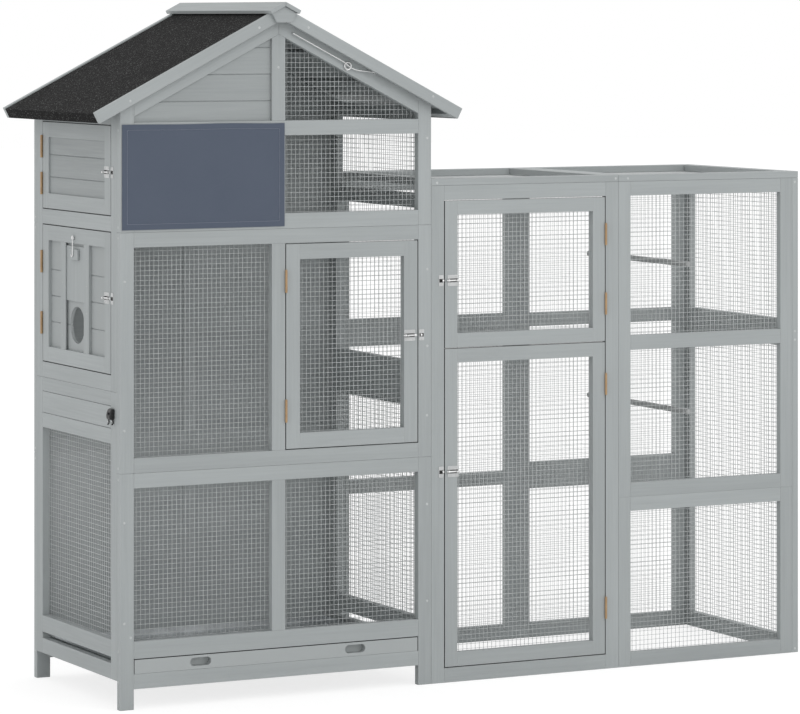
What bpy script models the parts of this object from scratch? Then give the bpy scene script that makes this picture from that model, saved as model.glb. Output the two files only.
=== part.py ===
"""Outdoor bird cage of painted softwood and welded mesh: a gabled house, with a flight cage at its right.

Metres, +Z up. The origin is on the ground, in the middle of the whole cage's box. While it is built,
X runs right from the outside of the house's left wall, Y runs back from the front face and Z up from the
ground; place_origin then moves everything to the origin. The house's right roof half lifts on the ridge,
five framed doors turn on butt hinges and are shut by slide bolts, a shutter drops over a pop hole, and
the bottom tray and a slot board pull out.
"""

import math

import bmesh
import bpy
from mathutils import Euler, Matrix, Vector

# Timber and clearances
TIMBER = 0.020
RAIL = 0.039
GAP = 0.0003
DOOR_GAP = 0.0018
DOOR_RAIL = 0.041
BOARD = 0.008
BOARD_PITCH = 0.070
GROOVE = 0.0035
BOARD_SET_BACK = 0.009
BOARD_TONGUE = 0.003

# House
HOUSE_WIDTH = 0.906
DEPTH = 0.593
SKIRT_Z = 0.053
TRAY_SLOT = 0.039
FLOOR_RAIL = 0.045
LOWER_JOINT_Z = 0.611
UPPER_JOINT_Z = 1.2335
NEST_WINDOW_Z = 1.274
WINDOW = 0.205
EAVE_CORNER_Z = 1.5568
ROOF_SLOPE = math.radians(27.2)

# Side walls of the house
SIDE_STILE = 0.0405
SIDE_FOOT_Z = 0.074
SIDE_SLOT_Z = 0.1145
SIDE_SLOT = 0.017
SIDE_MESH_Z = 0.176
LEFT_MESH_TOP_Z = 0.684
SLOT_BOARD_Z = 0.7236
SLOT_BOARD_SLOT = 0.0588
LEFT_JOINT_Z = 0.820
POP_DOOR_Z = 0.8617
POP_DOOR_SLOT = 0.372
NEST_DOOR_Z = 1.274
NEST_DOOR_SLOT = 0.237
RIGHT_MESH_TOP_Z = 0.740
RIGHT_JOINT_Z = 0.782
PASSAGE_Z = 0.862
PASSAGE = 0.415
RIGHT_WINDOW_Z = 1.316
WALL_TOP_Z = 1.5515

# Roof, measured down each slope from the ridge line (run) and square to it (depth below the barge top)
BARGE_WIDTH = 0.031
BARGE_THICKNESS = 0.015
BARGE_FRONT = 0.012
BARGE_SEAT = 0.0005
EAVE_OVERHANG = 0.081
FELT = 0.003
FELT_DEPTH = 0.0035
DECK = 0.010
DECK_GAP = 0.0015
BATTEN = 0.0094
BATTEN_WIDTH = 0.030
BATTEN_RUNS = (0.415, 0.235, 0.055)
EAVE_BATTEN = 0.022
EAVE_DEPTH = 0.0305
CAP_HALF_WIDTH = 0.040
CAP = 0.010
CAP_OVERHANG = 0.045
RIDGE_BLOCK = 0.010
RIDGE_BLOCK_WIDE = 0.036
RIDGE_BLOCK_NARROW = 0.022
RIDGE_BLOCK_DROP = 0.043

# Roof stay. Its bends, from the pin to the tip, and its eye are given as (right of the ridge, below the
# rafters' upper edge and square to it)
STAY_WIRE = 0.0015
STAY_BENDS = (
    (0.284, 0.0006),
    (0.233, 0.0190),
    (0.217, 0.0232),
    (0.203, 0.0229),
    (0.187, 0.0191),
    (0.038, 0.0196),
)
STAY_EYE = (0.201, 0.0225)
STAY_HOLE = (0.003, 0.008)
STAY_LUG = 0.002
STAY_LUG_NEAR = -0.004
STAY_LUG_RADIUS = 0.0055
STAY_PIN_BORE = 0.0023
STAY_FRONT = 0.0085
STAY_TIP_Y = -0.0008
STAY_RING = 0.0095
STAY_RING_WIRE = 0.002
STAY_EYE_STANDOFF = 0.0025

# Tray and slot board
TRAY_WALL = 0.0012
TRAY_PAN = 0.018
TRAY_HANDLE_AT = 0.225
TRAY_HANDLE = (0.060, 0.022)
TRAY_SIDE = 0.002
TRAY_HEAD = 0.001
TRAY_BACK = 0.003
RUNNER = (0.030, 0.016)
RUNNER_END = 0.002
SLOT_BOARD_DEPTH = 0.020
SLOT_BOARD_GAP = 0.001

# Turn latch on the left wall
LATCH_BODY = (0.024, 0.051)
LATCH_THICKNESS = 0.015
LATCH_NOTCH = (0.008, 0.015)
LATCH_PIN = 0.0025
LATCH_HEAD = (0.0045, 0.0012)
LATCH_AT = (0.047, 0.7645)

# Pop hole, shutter and hook on the left middle door
POP_HOLE_AT = (0.308, 0.974)
POP_HOLE = 0.049
CHANNEL = 0.126
GUIDE = 0.034
GUIDE_DEPTH = 0.0085
GUIDE_LIP = (0.006, 0.0032)
GUIDE_CLEARANCE = 0.0006
SHUTTER = 0.0044
SHUTTER_HEIGHT = 0.146
SHUTTER_BOTTOM_Z = 1.037
SHUTTER_BLOCK = (0.053, 0.029, 0.007)
SHUTTER_BLOCK_DROP = 0.007
HOOK_WIRE = 0.0015
HOOK_AT = (0.309, 1.206)
HOOK_HEAD = (0.0042, 0.001)
HOOK_EYE = 0.0048
HOOK_EYE_START = -40
HOOK_LENGTH = 0.050

# Flight cage
RUN_WIDTH = 1.148
RUN_END = 0.020
RUN_HEIGHT = 1.3375
RUN_ROOF = 0.0185
BAY_WIDTH = 0.582
DOOR_STILE = 0.0395
BAY_STILE = 0.041
RUN_DOOR_RAIL = 0.0385
BACK_SILL = 0.043
RUN_SILL = 0.0395
RUN_JOINT_Z = 0.899
BAY_RAILS = ((0.429, 0.5066), (0.873, 0.9134))
BACK_BAY_RAILS = ((0.446, 0.484), (0.861, 0.939))
BACK_END_RAILS = ((0.411, 0.487), (0.898, 0.937))
END_RAILS = ((0.861, 0.937),)
PERCH_FROM_BAY = 0.236
PERCH_HEIGHTS = {"perch_upper": 1.103, "perch_lower": 0.692}
PERCH_RADIUS = 0.008
PERCH_BAR = 0.003
PERCH_SCREW = 0.002
PERCH_WASHER = (0.0075, 0.0012)

# Welded mesh, drawn as a coarse lattice of the same outline and the same open share
NET_PITCH = 0.112
NET_BAR = 0.0088
NET = 0.0016
NET_LAP = 0.013
NET_LEAST_CELL = 0.0006

# Fabric cover over the upper left window
COVER = 0.0025
COVER_LOW_EDGE = (0.005, 0.0065)
COVER_HIGH_EDGE = (0.0035, 0.0335)

# Hinges and slide bolts
HINGE_LENGTH = 0.060
HINGE_LEAF = 0.0006
HINGE_REACH = 0.016
KNUCKLE = 0.0032
KNUCKLE_BORE = 0.0017
HINGE_PIN = 0.0012
KNUCKLE_SIDES = 8
BOLT_PLATE = (0.033, 0.030, 0.0012)
BOLT_KEEPER = 0.015
BOLT_KEEPER_SPACE = 0.002
BOLT_SET_BACK = 0.008
BOLT_RADIUS = 0.0024
BOLT_OVERHANG = 0.0035
BOLT_STRAP = (0.0045, 0.0065, 0.001)
BOLT_KNOB = (0.0028, 0.008)

# Where each door's fittings sit: (lower hinge over its foot, upper hinge under its top), bolt over its foot
FRONT_DOOR_RISES = ((0.101, 0.098), 0.287)
LEFT_MIDDLE_RISES = ((0.103, 0.100), 0.197)
LEFT_UPPER_RISES = ((0.067, 0.067), 0.112)
EXT_LOWER_RISES = ((0.127, 0.115), 0.526)
EXT_UPPER_RISES = ((0.104, 0.102), 0.182)

PAINT_GREY = (0.36, 0.385, 0.385)
PALETTE = {
    "painted_timber": (PAINT_GREY, 0.55, 0.0),
    "roof_felt": ((0.035, 0.035, 0.036), 0.95, 0.0),
    "wire_mesh": ((0.45, 0.46, 0.46), 0.40, 1.0),
    "cover_fabric": ((0.085, 0.11, 0.155), 0.80, 0.0),
    "tray_metal": ((0.50, 0.51, 0.52), 0.35, 1.0),
    "black_plastic": ((0.012, 0.012, 0.013), 0.45, 0.0),
    "zinc_steel": ((0.62, 0.62, 0.62), 0.30, 1.0),
    "bare_dowel": ((0.42, 0.40, 0.36), 0.60, 0.0),
    "hinge_steel": ((0.42, 0.36, 0.27), 0.40, 1.0),
}

SLOPE = math.tan(ROOF_SLOPE)
APEX_Z = EAVE_CORNER_Z + HOUSE_WIDTH / 2 * SLOPE
RAFTER_DEPTH = FELT_DEPTH + FELT + DECK + BATTEN + 2 * GAP
BARGE_APEX_Z = APEX_Z + RAFTER_DEPTH / math.cos(ROOF_SLOPE)
MIDDLE_X = HOUSE_WIDTH / 2
RIDGE_AXIS = (MIDDLE_X, BARGE_APEX_Z + (GAP + CAP) / math.cos(ROOF_SLOPE))
STILE_X = (MIDDLE_X - RAIL / 2, MIDDLE_X + RAIL / 2)
SIDE_OPEN_Y = (TIMBER + SIDE_STILE, DEPTH - TIMBER - SIDE_STILE)
RUN_X = (HOUSE_WIDTH, HOUSE_WIDTH + BAY_WIDTH, HOUSE_WIDTH + RUN_WIDTH)
END_X = RUN_X[2] + RUN_END
TRAY_Z = SKIRT_Z + RAIL
FLOOR_Z = TRAY_Z + TRAY_SLOT
OPENING_Z = FLOOR_Z + FLOOR_RAIL
ROOF_HALF_SPAN = MIDDLE_X + EAVE_OVERHANG
STAY_POINTS = [
    (MIDDLE_X + x, APEX_Z - x * SLOPE - drop / math.cos(ROOF_SLOPE)) for x, drop in (STAY_EYE, *STAY_BENDS)
]
STAY_EYE_AT = STAY_POINTS[0]
STAY_PIVOT = STAY_POINTS[1]
STAY_HOLE_AT = STAY_POINTS[-1]
PERCH_X = RUN_X[1] + PERCH_FROM_BAY
COVER_BOX = (
    (COVER_LOW_EDGE[0], UPPER_JOINT_Z + COVER_LOW_EDGE[1]),
    (STILE_X[1] - COVER_HIGH_EDGE[0], NEST_WINDOW_Z + WINDOW + COVER_HIGH_EDGE[1]),
)


def start_scene():
    """Empties the scene and makes one collection for the pieces and one for the shapes that cut them."""
    for obj in list(bpy.data.objects):
        bpy.data.objects.remove(obj, do_unlink=True)
    found = {}
    for title in ("bird_cage", "cutters"):
        found[title] = bpy.data.collections.new(title)
        bpy.context.scene.collection.children.link(found[title])
    return found


COLLECTIONS = start_scene()


def material(title):
    if title in bpy.data.materials:
        return bpy.data.materials[title]
    colour, roughness, metallic = PALETTE[title]
    made = bpy.data.materials.new(title)
    made.use_nodes = True
    shader = made.node_tree.nodes["Principled BSDF"]
    shader.inputs["Base Color"].default_value = (*colour, 1)
    shader.inputs["Roughness"].default_value = roughness
    shader.inputs["Metallic"].default_value = metallic
    made.diffuse_color = (*colour, 1)
    return made


def add(name, data, finish="painted_timber"):
    obj = bpy.data.objects.new(name, data)
    COLLECTIONS["bird_cage"].objects.link(obj)
    data.materials.append(material(finish))
    return obj


def helper(obj):
    """Moves a shape that only cuts or joins another to the cutters, hidden from a render."""
    COLLECTIONS["bird_cage"].objects.unlink(obj)
    COLLECTIONS["cutters"].objects.link(obj)
    obj.hide_render = True
    obj.display_type = "WIRE"
    return obj


def as_mesh(obj):
    """The same piece as a mesh with its caps welded on, for a Boolean."""
    if obj.type == "MESH":
        return obj
    bpy.context.view_layer.update()
    evaluated = obj.evaluated_get(bpy.context.evaluated_depsgraph_get())
    mesh = bpy.data.meshes.new_from_object(evaluated)
    welded = bmesh.new()
    welded.from_mesh(mesh)
    bmesh.ops.remove_doubles(welded, verts=welded.verts, dist=1e-6)
    bmesh.ops.recalc_face_normals(welded, faces=welded.faces)
    welded.to_mesh(mesh)
    welded.free()
    name, matrix = obj.name, obj.matrix_world.copy()
    bpy.data.objects.remove(obj, do_unlink=True)
    made = bpy.data.objects.new(name, mesh)
    COLLECTIONS["bird_cage"].objects.link(made)
    made.matrix_world = matrix
    return made


def boolean(obj, tools, operation):
    obj = as_mesh(obj)
    for tool in tools:
        modifier = obj.modifiers.new(operation.lower(), "BOOLEAN")
        modifier.operation = operation
        modifier.solver = "EXACT"
        modifier.material_mode = "TRANSFER"
        modifier.object = helper(as_mesh(tool))
    return obj


def joined(obj, tools):
    return boolean(obj, tools, "UNION")


def cut(obj, tools):
    return boolean(obj, tools, "DIFFERENCE")


def crossed(obj, tools):
    return boolean(obj, tools, "INTERSECT")


def block(name, low, high, finish="painted_timber"):
    shape = bmesh.new()
    bmesh.ops.create_cube(shape, size=1.0)
    size = Vector(high) - Vector(low)
    bmesh.ops.scale(shape, vec=size, verts=shape.verts)
    bmesh.ops.translate(shape, vec=(Vector(low) + Vector(high)) / 2, verts=shape.verts)
    mesh = bpy.data.meshes.new(name)
    shape.to_mesh(mesh)
    shape.free()
    return add(name, mesh, finish)


def cylinder(name, start, end, radius, sides=16, finish="zinc_steel"):
    start, end = Vector(start), Vector(end)
    axis = end - start
    shape = bmesh.new()
    bmesh.ops.create_cone(
        shape, cap_ends=True, segments=sides, radius1=radius, radius2=radius, depth=axis.length
    )
    turn = axis.to_track_quat("Z", "Y").to_matrix().to_4x4()
    shape.transform(Matrix.Translation((start + end) / 2) @ turn)
    mesh = bpy.data.meshes.new(name)
    shape.to_mesh(mesh)
    shape.free()
    made = add(name, mesh, finish)
    mesh.shade_smooth()
    mesh.set_sharp_from_angle(angle=math.radians(50))
    return made


def signed_area(points):
    pairs = zip(points, points[1:] + points[:1])
    return sum(a[0] * b[1] - b[0] * a[1] for a, b in pairs) / 2


def wound(points, turn):
    """The outline in one sense of turning: 1 for an outer edge, -1 for a hole."""
    points = list(points)
    return points if signed_area(points) * turn > 0 else points[::-1]


UNTURNED = Matrix.Rotation(math.radians(-31), 3, "Z")
PLANES = {
    "front": (math.pi / 2, 0, 0),
    "side": (math.pi / 2, 0, math.pi / 2),
    "flat": (0, 0, 0),
}


def slab(name, plane, near, thickness, outline, holes=(), finish="painted_timber"):
    """A board, frame or sheet with a flat outline, from near to near + thickness across its plane.

    Points are (x, z) on a front plane, (y, z) on a side plane and (x, y) on a flat one. The curve is drawn
    turned in its own plane, because its fill leaves a gap between three corners on one level.
    """
    curve = bpy.data.curves.new(name, "CURVE")
    curve.dimensions = "2D"
    curve.fill_mode = "BOTH"
    curve.extrude = thickness / 2
    loops = [wound(outline, 1)] + [wound(hole, -1) for hole in holes]
    for points in loops:
        spline = curve.splines.new("POLY")
        spline.points.add(len(points) - 1)
        for point, (u, v) in zip(spline.points, points):
            point.co = (*(UNTURNED @ Vector((u, v, 0))), 1)
        spline.use_cyclic_u = True
    obj = add(name, curve, finish)
    middle = near + thickness / 2
    obj.location = {"front": (0, middle, 0), "side": (middle, 0, 0), "flat": (0, 0, middle)}[plane]
    turned_back = Euler(PLANES[plane]).to_matrix() @ UNTURNED.transposed()
    obj.rotation_euler = turned_back.to_euler()
    return obj


def oblong(low, high):
    (u0, v0), (u1, v1) = low, high
    return [(u0, v0), (u1, v0), (u1, v1), (u0, v1)]


def arc(centre, radius, start, end, steps):
    """Points round part of a circle, angles in degrees."""
    turns = [math.radians(start + (end - start) * i / steps) for i in range(steps + 1)]
    return [(centre[0] + radius * math.cos(t), centre[1] + radius * math.sin(t)) for t in turns]


def stadium(centre, length, height, steps=6):
    radius = height / 2
    reach = length / 2 - radius
    right = arc((centre[0] + reach, centre[1]), radius, -90, 90, steps)
    left = arc((centre[0] - reach, centre[1]), radius, 90, 270, steps)
    return right + left


def clipped(points, line):
    """The part of a convex outline on the inner side of a line, given as (point, inward direction)."""
    (px, py), (nx, ny) = line
    sides = [(x - px) * nx + (y - py) * ny for x, y in points]
    kept = []
    for i, (a, side_a) in enumerate(zip(points, sides)):
        b, side_b = points[(i + 1) % len(points)], sides[(i + 1) % len(points)]
        if side_a >= 0:
            kept.append(a)
        if (side_a >= 0) != (side_b >= 0):
            t = side_a / (side_a - side_b)
            kept.append((a[0] + (b[0] - a[0]) * t, a[1] + (b[1] - a[1]) * t))
    return kept


def inset_lines(outline, distance):
    """The edges of a convex outline moved inward, each as a point and its inward direction."""
    outline = wound(outline, 1)
    lines = []
    for a, b in zip(outline, outline[1:] + outline[:1]):
        edge = Vector(b) - Vector(a)
        inward = Vector((-edge.y, edge.x)).normalized()
        lines.append((Vector(a) + inward * distance, inward))
    return lines


def bar_places(low, high, through=None):
    """The near edges of evenly spaced bars from low to high, one of them at through where it is given."""
    stops = [low, high - NET_BAR] if through is None else [low, through, high - NET_BAR]
    places = []
    for start, end in zip(stops, stops[1:]):
        count = max(1, round((end - start) / NET_PITCH))
        places += [start + (end - start) * i / count for i in range(count)]
    return places + [stops[-1]]


def net(name, plane, near, outline, through=None):
    """A sheet of welded mesh, as a lattice of flat bars inside a convex outline."""
    us, vs = zip(*outline)
    columns = bar_places(min(us), max(us), through)
    rows = bar_places(min(vs), max(vs))
    holes = []
    for u0, u1 in zip(columns, columns[1:]):
        for v0, v1 in zip(rows, rows[1:]):
            cell = oblong((u0 + NET_BAR, v0 + NET_BAR), (u1, v1))
            for line in inset_lines(outline, NET_BAR):
                cell = clipped(cell, line)
            if len(cell) > 2 and abs(signed_area(cell)) > NET_LEAST_CELL:
                holes.append(cell)
    return slab(name, plane, near, NET, outline, holes, "wire_mesh")


def grown(low, high, by):
    return oblong((low[0] - by, low[1] - by), (high[0] + by, high[1] + by))


def boards(name, plane, face, inward, low, high, finish="painted_timber"):
    """Horizontal tongue-and-groove boards between two corners (along, z) of a front or side wall.

    face is where their grooved side lies and inward (1 or -1) the way to their plain side. The section is
    drawn across the wall and runs along it.
    """
    back = face + inward * BOARD
    count = math.floor((high[1] - low[1]) / BOARD_PITCH)
    section = [(back, low[1]), (back, high[1]), (face, high[1])]
    for i in range(1, count + 1):
        z = high[1] - i * BOARD_PITCH
        if z - GROOVE > low[1]:
            section += [(face, z + GROOVE), (face + inward * GROOVE, z), (face, z - GROOVE)]
    section.append((face, low[1]))
    across = "side" if plane == "front" else "front"
    return slab(name, across, low[0], high[0] - low[0], section, (), finish)


def wire(name, points, radius, finish="zinc_steel"):
    curve = bpy.data.curves.new(name, "CURVE")
    curve.dimensions = "3D"
    curve.bevel_depth = radius
    curve.bevel_resolution = 2
    curve.use_fill_caps = True
    spline = curve.splines.new("POLY")
    spline.points.add(len(points) - 1)
    for point, co in zip(spline.points, points):
        point.co = (*co, 1)
    return add(name, curve, finish)


def turned(name, profile, finish, sides=16):
    """A solid turned about its local Z from a profile of (radius, height) points."""
    mesh = bpy.data.meshes.new(name)
    edges = [(i, i + 1) for i in range(len(profile) - 1)]
    mesh.from_pydata([(radius, 0, height) for radius, height in profile], edges, [])
    obj = add(name, mesh, finish)
    screw = obj.modifiers.new("turn", "SCREW")
    screw.steps = sides
    screw.render_steps = sides
    screw.use_merge_vertices = True
    screw.merge_threshold = 1e-5
    return obj


def ring(name, centre, plane, radius, wire_radius, finish="zinc_steel"):
    """A closed ring whose hole faces along Y on a front plane, or along X on a side plane."""
    bpy.ops.mesh.primitive_torus_add(
        major_radius=radius, minor_radius=wire_radius, major_segments=20, minor_segments=8
    )
    obj = bpy.context.object
    for collection in obj.users_collection:
        collection.objects.unlink(obj)
    COLLECTIONS["bird_cage"].objects.link(obj)
    obj.name = name
    obj.data.materials.append(material(finish))
    obj.location = centre
    obj.rotation_euler = PLANES[plane]
    return obj


def carried(axis_name, at, pieces):
    """Hangs the pieces of one moving body on an empty that stands on their joint's axis."""
    empty = bpy.data.objects.new(axis_name, None)
    COLLECTIONS["bird_cage"].objects.link(empty)
    empty.location = at
    for piece in pieces:
        piece.parent = empty
        piece.matrix_parent_inverse = Matrix.Translation(-Vector(at))
    return empty


def roof_point(run, depth, side):
    """(x, z) of a point on a roof half: run from the ridge line, depth below the barge top, side 1 right."""
    x = run * math.cos(ROOF_SLOPE) - depth * math.sin(ROOF_SLOPE)
    z = BARGE_APEX_Z - run * math.sin(ROOF_SLOPE) - depth * math.cos(ROOF_SLOPE)
    return (MIDDLE_X + side * x, z)


def rafter_z(x, drop=0.0):
    """Height of the rafters' upper edge over x, or of a line drop below it, measured square to the slope."""
    return APEX_Z - abs(x - MIDDLE_X) * SLOPE - drop / math.cos(ROOF_SLOPE)


def leg_outline(foot_z, top_z):
    """A frame on two legs: its bottom rail starts at foot_z."""
    return [
        (0, 0),
        (RAIL, 0),
        (RAIL, foot_z),
        (HOUSE_WIDTH - RAIL, foot_z),
        (HOUSE_WIDTH - RAIL, 0),
        (HOUSE_WIDTH, 0),
        (HOUSE_WIDTH, top_z),
        (0, top_z),
    ]


def pair_of_openings(low_z, high_z):
    left = oblong((RAIL, low_z), (STILE_X[0], high_z))
    right = oblong((STILE_X[1], low_z), (HOUSE_WIDTH - RAIL, high_z))
    return [left, right]


def gable_outline(low_z):
    return [
        (0, low_z),
        (HOUSE_WIDTH, low_z),
        (HOUSE_WIDTH, rafter_z(HOUSE_WIDTH)),
        (MIDDLE_X, APEX_Z),
        (0, rafter_z(0)),
    ]


def gable_triangle(side, low_z, lap=0.0):
    """The sloping opening beside the centre stile, left (-1) or right (1), or a sheet that laps it."""
    inner = MIDDLE_X + side * (RAIL / 2 - lap)
    outer = MIDDLE_X + side * (HOUSE_WIDTH / 2 - RAIL + lap)
    low = low_z - lap
    drop = RAIL - lap
    return [(inner, low), (outer, low), (outer, rafter_z(outer, drop)), (inner, rafter_z(inner, drop))]


def wall_frame(at, along, outward):
    """A placing matrix: local X runs along, local Y outward from the wall and local Z the third way."""
    along, outward = Vector(along), Vector(outward)
    up = along.cross(outward)
    columns = Matrix((along, outward, up)).transposed().to_4x4()
    return Matrix.Translation(at) @ columns


def baked(obj, frame):
    """Applies a small piece's modifiers and places it, so that it can be joined to a larger one."""
    bpy.context.view_layer.update()
    evaluated = obj.evaluated_get(bpy.context.evaluated_depsgraph_get())
    mesh = bpy.data.meshes.new_from_object(evaluated)
    used = [obj] + [modifier.object for modifier in obj.modifiers if modifier.type == "BOOLEAN"]
    name, matrix = obj.name, obj.matrix_world.copy()
    for old in used:
        bpy.data.objects.remove(old, do_unlink=True)
    made = bpy.data.objects.new(name, mesh)
    COLLECTIONS["bird_cage"].objects.link(made)
    mesh.transform(frame @ matrix)
    return made


def hinge(name, at, toward_door, outward):
    """A butt hinge with three knuckles: the part for the door and the part for the frame.

    at is the middle of the pin. The door's leaf carries the two outer knuckles, and the frame's leaf the
    middle one with the pin fixed in it.
    """
    frame = wall_frame(at, toward_door, outward)
    half = HINGE_LENGTH / 2
    third = HINGE_LENGTH / 6
    face = KNUCKLE + GAP
    leaf = (DOOR_GAP / 2 - HINGE_LEAF, DOOR_GAP / 2 + GAP)
    door_leaf = block(
        name, (leaf[0], -face - HINGE_REACH, -half), (leaf[1], -face, half), "hinge_steel"
    )
    knuckles = []
    for low, high in ((-half, -third - GAP), (third + GAP, half)):
        tube = cylinder(name, (0, 0, low), (0, 0, high), KNUCKLE, KNUCKLE_SIDES, "hinge_steel")
        strap = block(name, (leaf[0], -face - GAP, low), (leaf[1], 0, high), "hinge_steel")
        bore = cylinder(name, (0, 0, low - GAP), (0, 0, high + GAP), KNUCKLE_BORE, KNUCKLE_SIDES)
        knuckles.append(baked(cut(joined(tube, [strap]), [bore]), Matrix.Identity(4)))
    frame_leaf = block(
        name, (-leaf[1], -face - HINGE_REACH, -half), (-leaf[0], -face, half), "hinge_steel"
    )
    strap = block(name, (-leaf[1], -face - GAP, -third), (-leaf[0], 0, third), "hinge_steel")
    tube = cylinder(name, (0, 0, -third), (0, 0, third), KNUCKLE, KNUCKLE_SIDES, "hinge_steel")
    pin = cylinder(name, (0, 0, -half), (0, 0, half), HINGE_PIN, KNUCKLE_SIDES, "hinge_steel")
    door_part = joined(door_leaf, knuckles)
    frame_part = joined(frame_leaf, [strap, tube, pin])
    return baked(door_part, frame), baked(frame_part, frame)


def staple(name, start, reach):
    """A strap bent over a bolt: an arch on two feet, standing outward (local Y) from its plate."""
    width, foot, thickness = BOLT_STRAP
    inner = BOLT_RADIUS + GAP
    outer = inner + thickness
    section = [
        (0, -foot),
        (0, -inner),
        (reach, -inner),
        (reach, inner),
        (0, inner),
        (0, foot),
        (thickness, foot),
        (thickness, outer),
        (reach + thickness, outer),
        (reach + thickness, -outer),
        (thickness, -outer),
        (thickness, -foot),
    ]
    return slab(name, "side", start, width, section, (), "zinc_steel")


def slide_bolt(name, at, toward_frame, outward):
    """A slide bolt at a door's free edge: (door part, frame part, bolt).

    at is on the wall's face, at the door's edge. The bolt rests drawn back inside that edge, and
    travels past it into its keeper.
    """
    frame = wall_frame(at, toward_frame, outward)
    fitting = name + "_fitting"
    length, height, plate = BOLT_PLATE
    strap_width = BOLT_STRAP[0]
    axis = plate + GAP + BOLT_RADIUS
    reach = plate + 2 * GAP + 2 * BOLT_RADIUS
    end = -BOLT_SET_BACK
    start = end - length
    keeper = DOOR_GAP + BOLT_KEEPER_SPACE
    middle = height / 2
    door = block(fitting, (start, -GAP, -middle), (end, plate, middle), "zinc_steel")
    straps = [staple(fitting, x, reach) for x in (start + GAP, end - GAP - strap_width)]
    fixed = block(fitting, (keeper, -GAP, -middle), (keeper + BOLT_KEEPER, plate, middle), "zinc_steel")
    catch = staple(fitting, keeper + BOLT_KEEPER_SPACE, reach)
    tips = (start - BOLT_OVERHANG, end + BOLT_OVERHANG)
    rod = cylinder(name, (tips[0], axis, 0), (tips[1], axis, 0), BOLT_RADIUS, 12)
    knob_radius, knob_height = BOLT_KNOB
    knob_x = start + strap_width + 3 * GAP + knob_radius
    knob = cylinder(fitting, (knob_x, axis, 0), (knob_x, axis + knob_height, 0), knob_radius, 12)
    bolt = baked(joined(rod, [knob]), frame)
    return baked(joined(door, straps), frame), baked(joined(fixed, [catch]), frame), bolt


def wall_point(plane, u, v, out=0.0):
    """A point on the front or the left wall: u along it, v up, out from its face."""
    return (u, -out, v) if plane == "front" else (-out, u, v)


WALL_AXES = {"front": ((1, 0, 0), (0, -1, 0)), "side": ((0, 1, 0), (-1, 0, 0))}


class Door:
    """A framed door in an opening of the front or the left wall, with two hinges and a slide bolt.

    hinge_side is -1 where the hinges are at the opening's low u, and 1 at its high u.
    """

    def __init__(self, name, plane, low, high, rail, hinge_side, hinge_rises, bolt_rise):
        self.name = name
        self.plane = plane
        self.low = (low[0] + DOOR_GAP, low[1] + DOOR_GAP)
        self.high = (high[0] - DOOR_GAP, high[1] - DOOR_GAP)
        self.rail = rail
        self.window = (
            (self.low[0] + rail, self.low[1] + rail),
            (self.high[0] - rail, self.high[1] - rail),
        )
        along, outward = (Vector(axis) for axis in WALL_AXES[plane])
        away = along * -hinge_side
        hinge_u = low[0] + DOOR_GAP / 2 if hinge_side < 0 else high[0] - DOOR_GAP / 2
        free_u = self.high[0] if hinge_side < 0 else self.low[0]
        self.axis = wall_point(plane, hinge_u, self.low[1], KNUCKLE + GAP)
        self.door_fittings = []
        self.wall_fittings = []
        for height in (self.low[1] + hinge_rises[0], self.high[1] - hinge_rises[1]):
            at = wall_point(plane, hinge_u, height, KNUCKLE + GAP)
            door_part, wall_part = hinge(name + "_fitting", at, away, outward)
            self.door_fittings.append(door_part)
            self.wall_fittings.append(wall_part)
        bolt_z = self.low[1] + bolt_rise
        bolt_at = wall_point(plane, free_u, bolt_z)
        plate, keeper, self.bolt = slide_bolt(name + "_bolt", bolt_at, away, outward)
        self.door_fittings.append(plate)
        self.wall_fittings.append(keeper)
        self.bolt_at = wall_point(plane, free_u, bolt_z, BOLT_PLATE[2] + GAP + BOLT_RADIUS)

    def leaf(self, title, extras=()):
        """The door's frame in one with its fittings and any extra parts, such as its panel."""
        frame = slab(title, self.plane, 0, TIMBER, oblong(self.low, self.high), [oblong(*self.window)])
        return joined(frame, [*extras, *self.door_fittings])

    def net(self, title):
        return net(title, self.plane, TIMBER + GAP, grown(*self.window, NET_LAP))

    def panel(self):
        outline = grown(*self.window, BOARD_TONGUE)
        return boards(self.name + "_panel", self.plane, BOARD_SET_BACK, 1, outline[0], outline[2])

    def hang(self, pieces):
        """Hangs the door on its hinge axis, with the bolt on an empty of its own."""
        slide = carried(self.name + "_bolt_slide", self.bolt_at, [self.bolt])
        return carried(self.name + "_hinge", self.axis, [*pieces, slide])


def front_and_back():
    """The lower front frame with its mesh, and the two boarded frames under the back gable."""
    low = [oblong((RAIL, TRAY_Z), (HOUSE_WIDTH - RAIL, FLOOR_Z))]
    low += pair_of_openings(OPENING_Z, LOWER_JOINT_Z - RAIL)
    slab("front_frame_lower", "front", 0, TIMBER, leg_outline(SKIRT_Z, LOWER_JOINT_Z - GAP), low)
    back = DEPTH - TIMBER
    panel_face = DEPTH - BOARD_SET_BACK
    spans = (
        ("lower", leg_outline(SKIRT_Z, LOWER_JOINT_Z - GAP), OPENING_Z, LOWER_JOINT_Z - RAIL),
        (
            "middle",
            oblong((0, LOWER_JOINT_Z), (HOUSE_WIDTH, UPPER_JOINT_Z - GAP)),
            LOWER_JOINT_Z + RAIL,
            UPPER_JOINT_Z - RAIL,
        ),
    )
    for title, outline, low_z, high_z in spans:
        name = "back_frame_" + title
        frame = slab(name, "front", back, TIMBER, outline, pair_of_openings(low_z, high_z))
        low_corner = (RAIL - BOARD_TONGUE, low_z - BOARD_TONGUE)
        high_corner = (HOUSE_WIDTH - RAIL + BOARD_TONGUE, high_z + BOARD_TONGUE)
        joined(frame, [boards(name + "_panel", "front", panel_face, -1, low_corner, high_corner)])
    high_corner = (HOUSE_WIDTH - RAIL, LOWER_JOINT_Z - RAIL)
    net("mesh_front_lower", "front", TIMBER + GAP, grown((RAIL, OPENING_Z), high_corner, NET_LAP))


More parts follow.
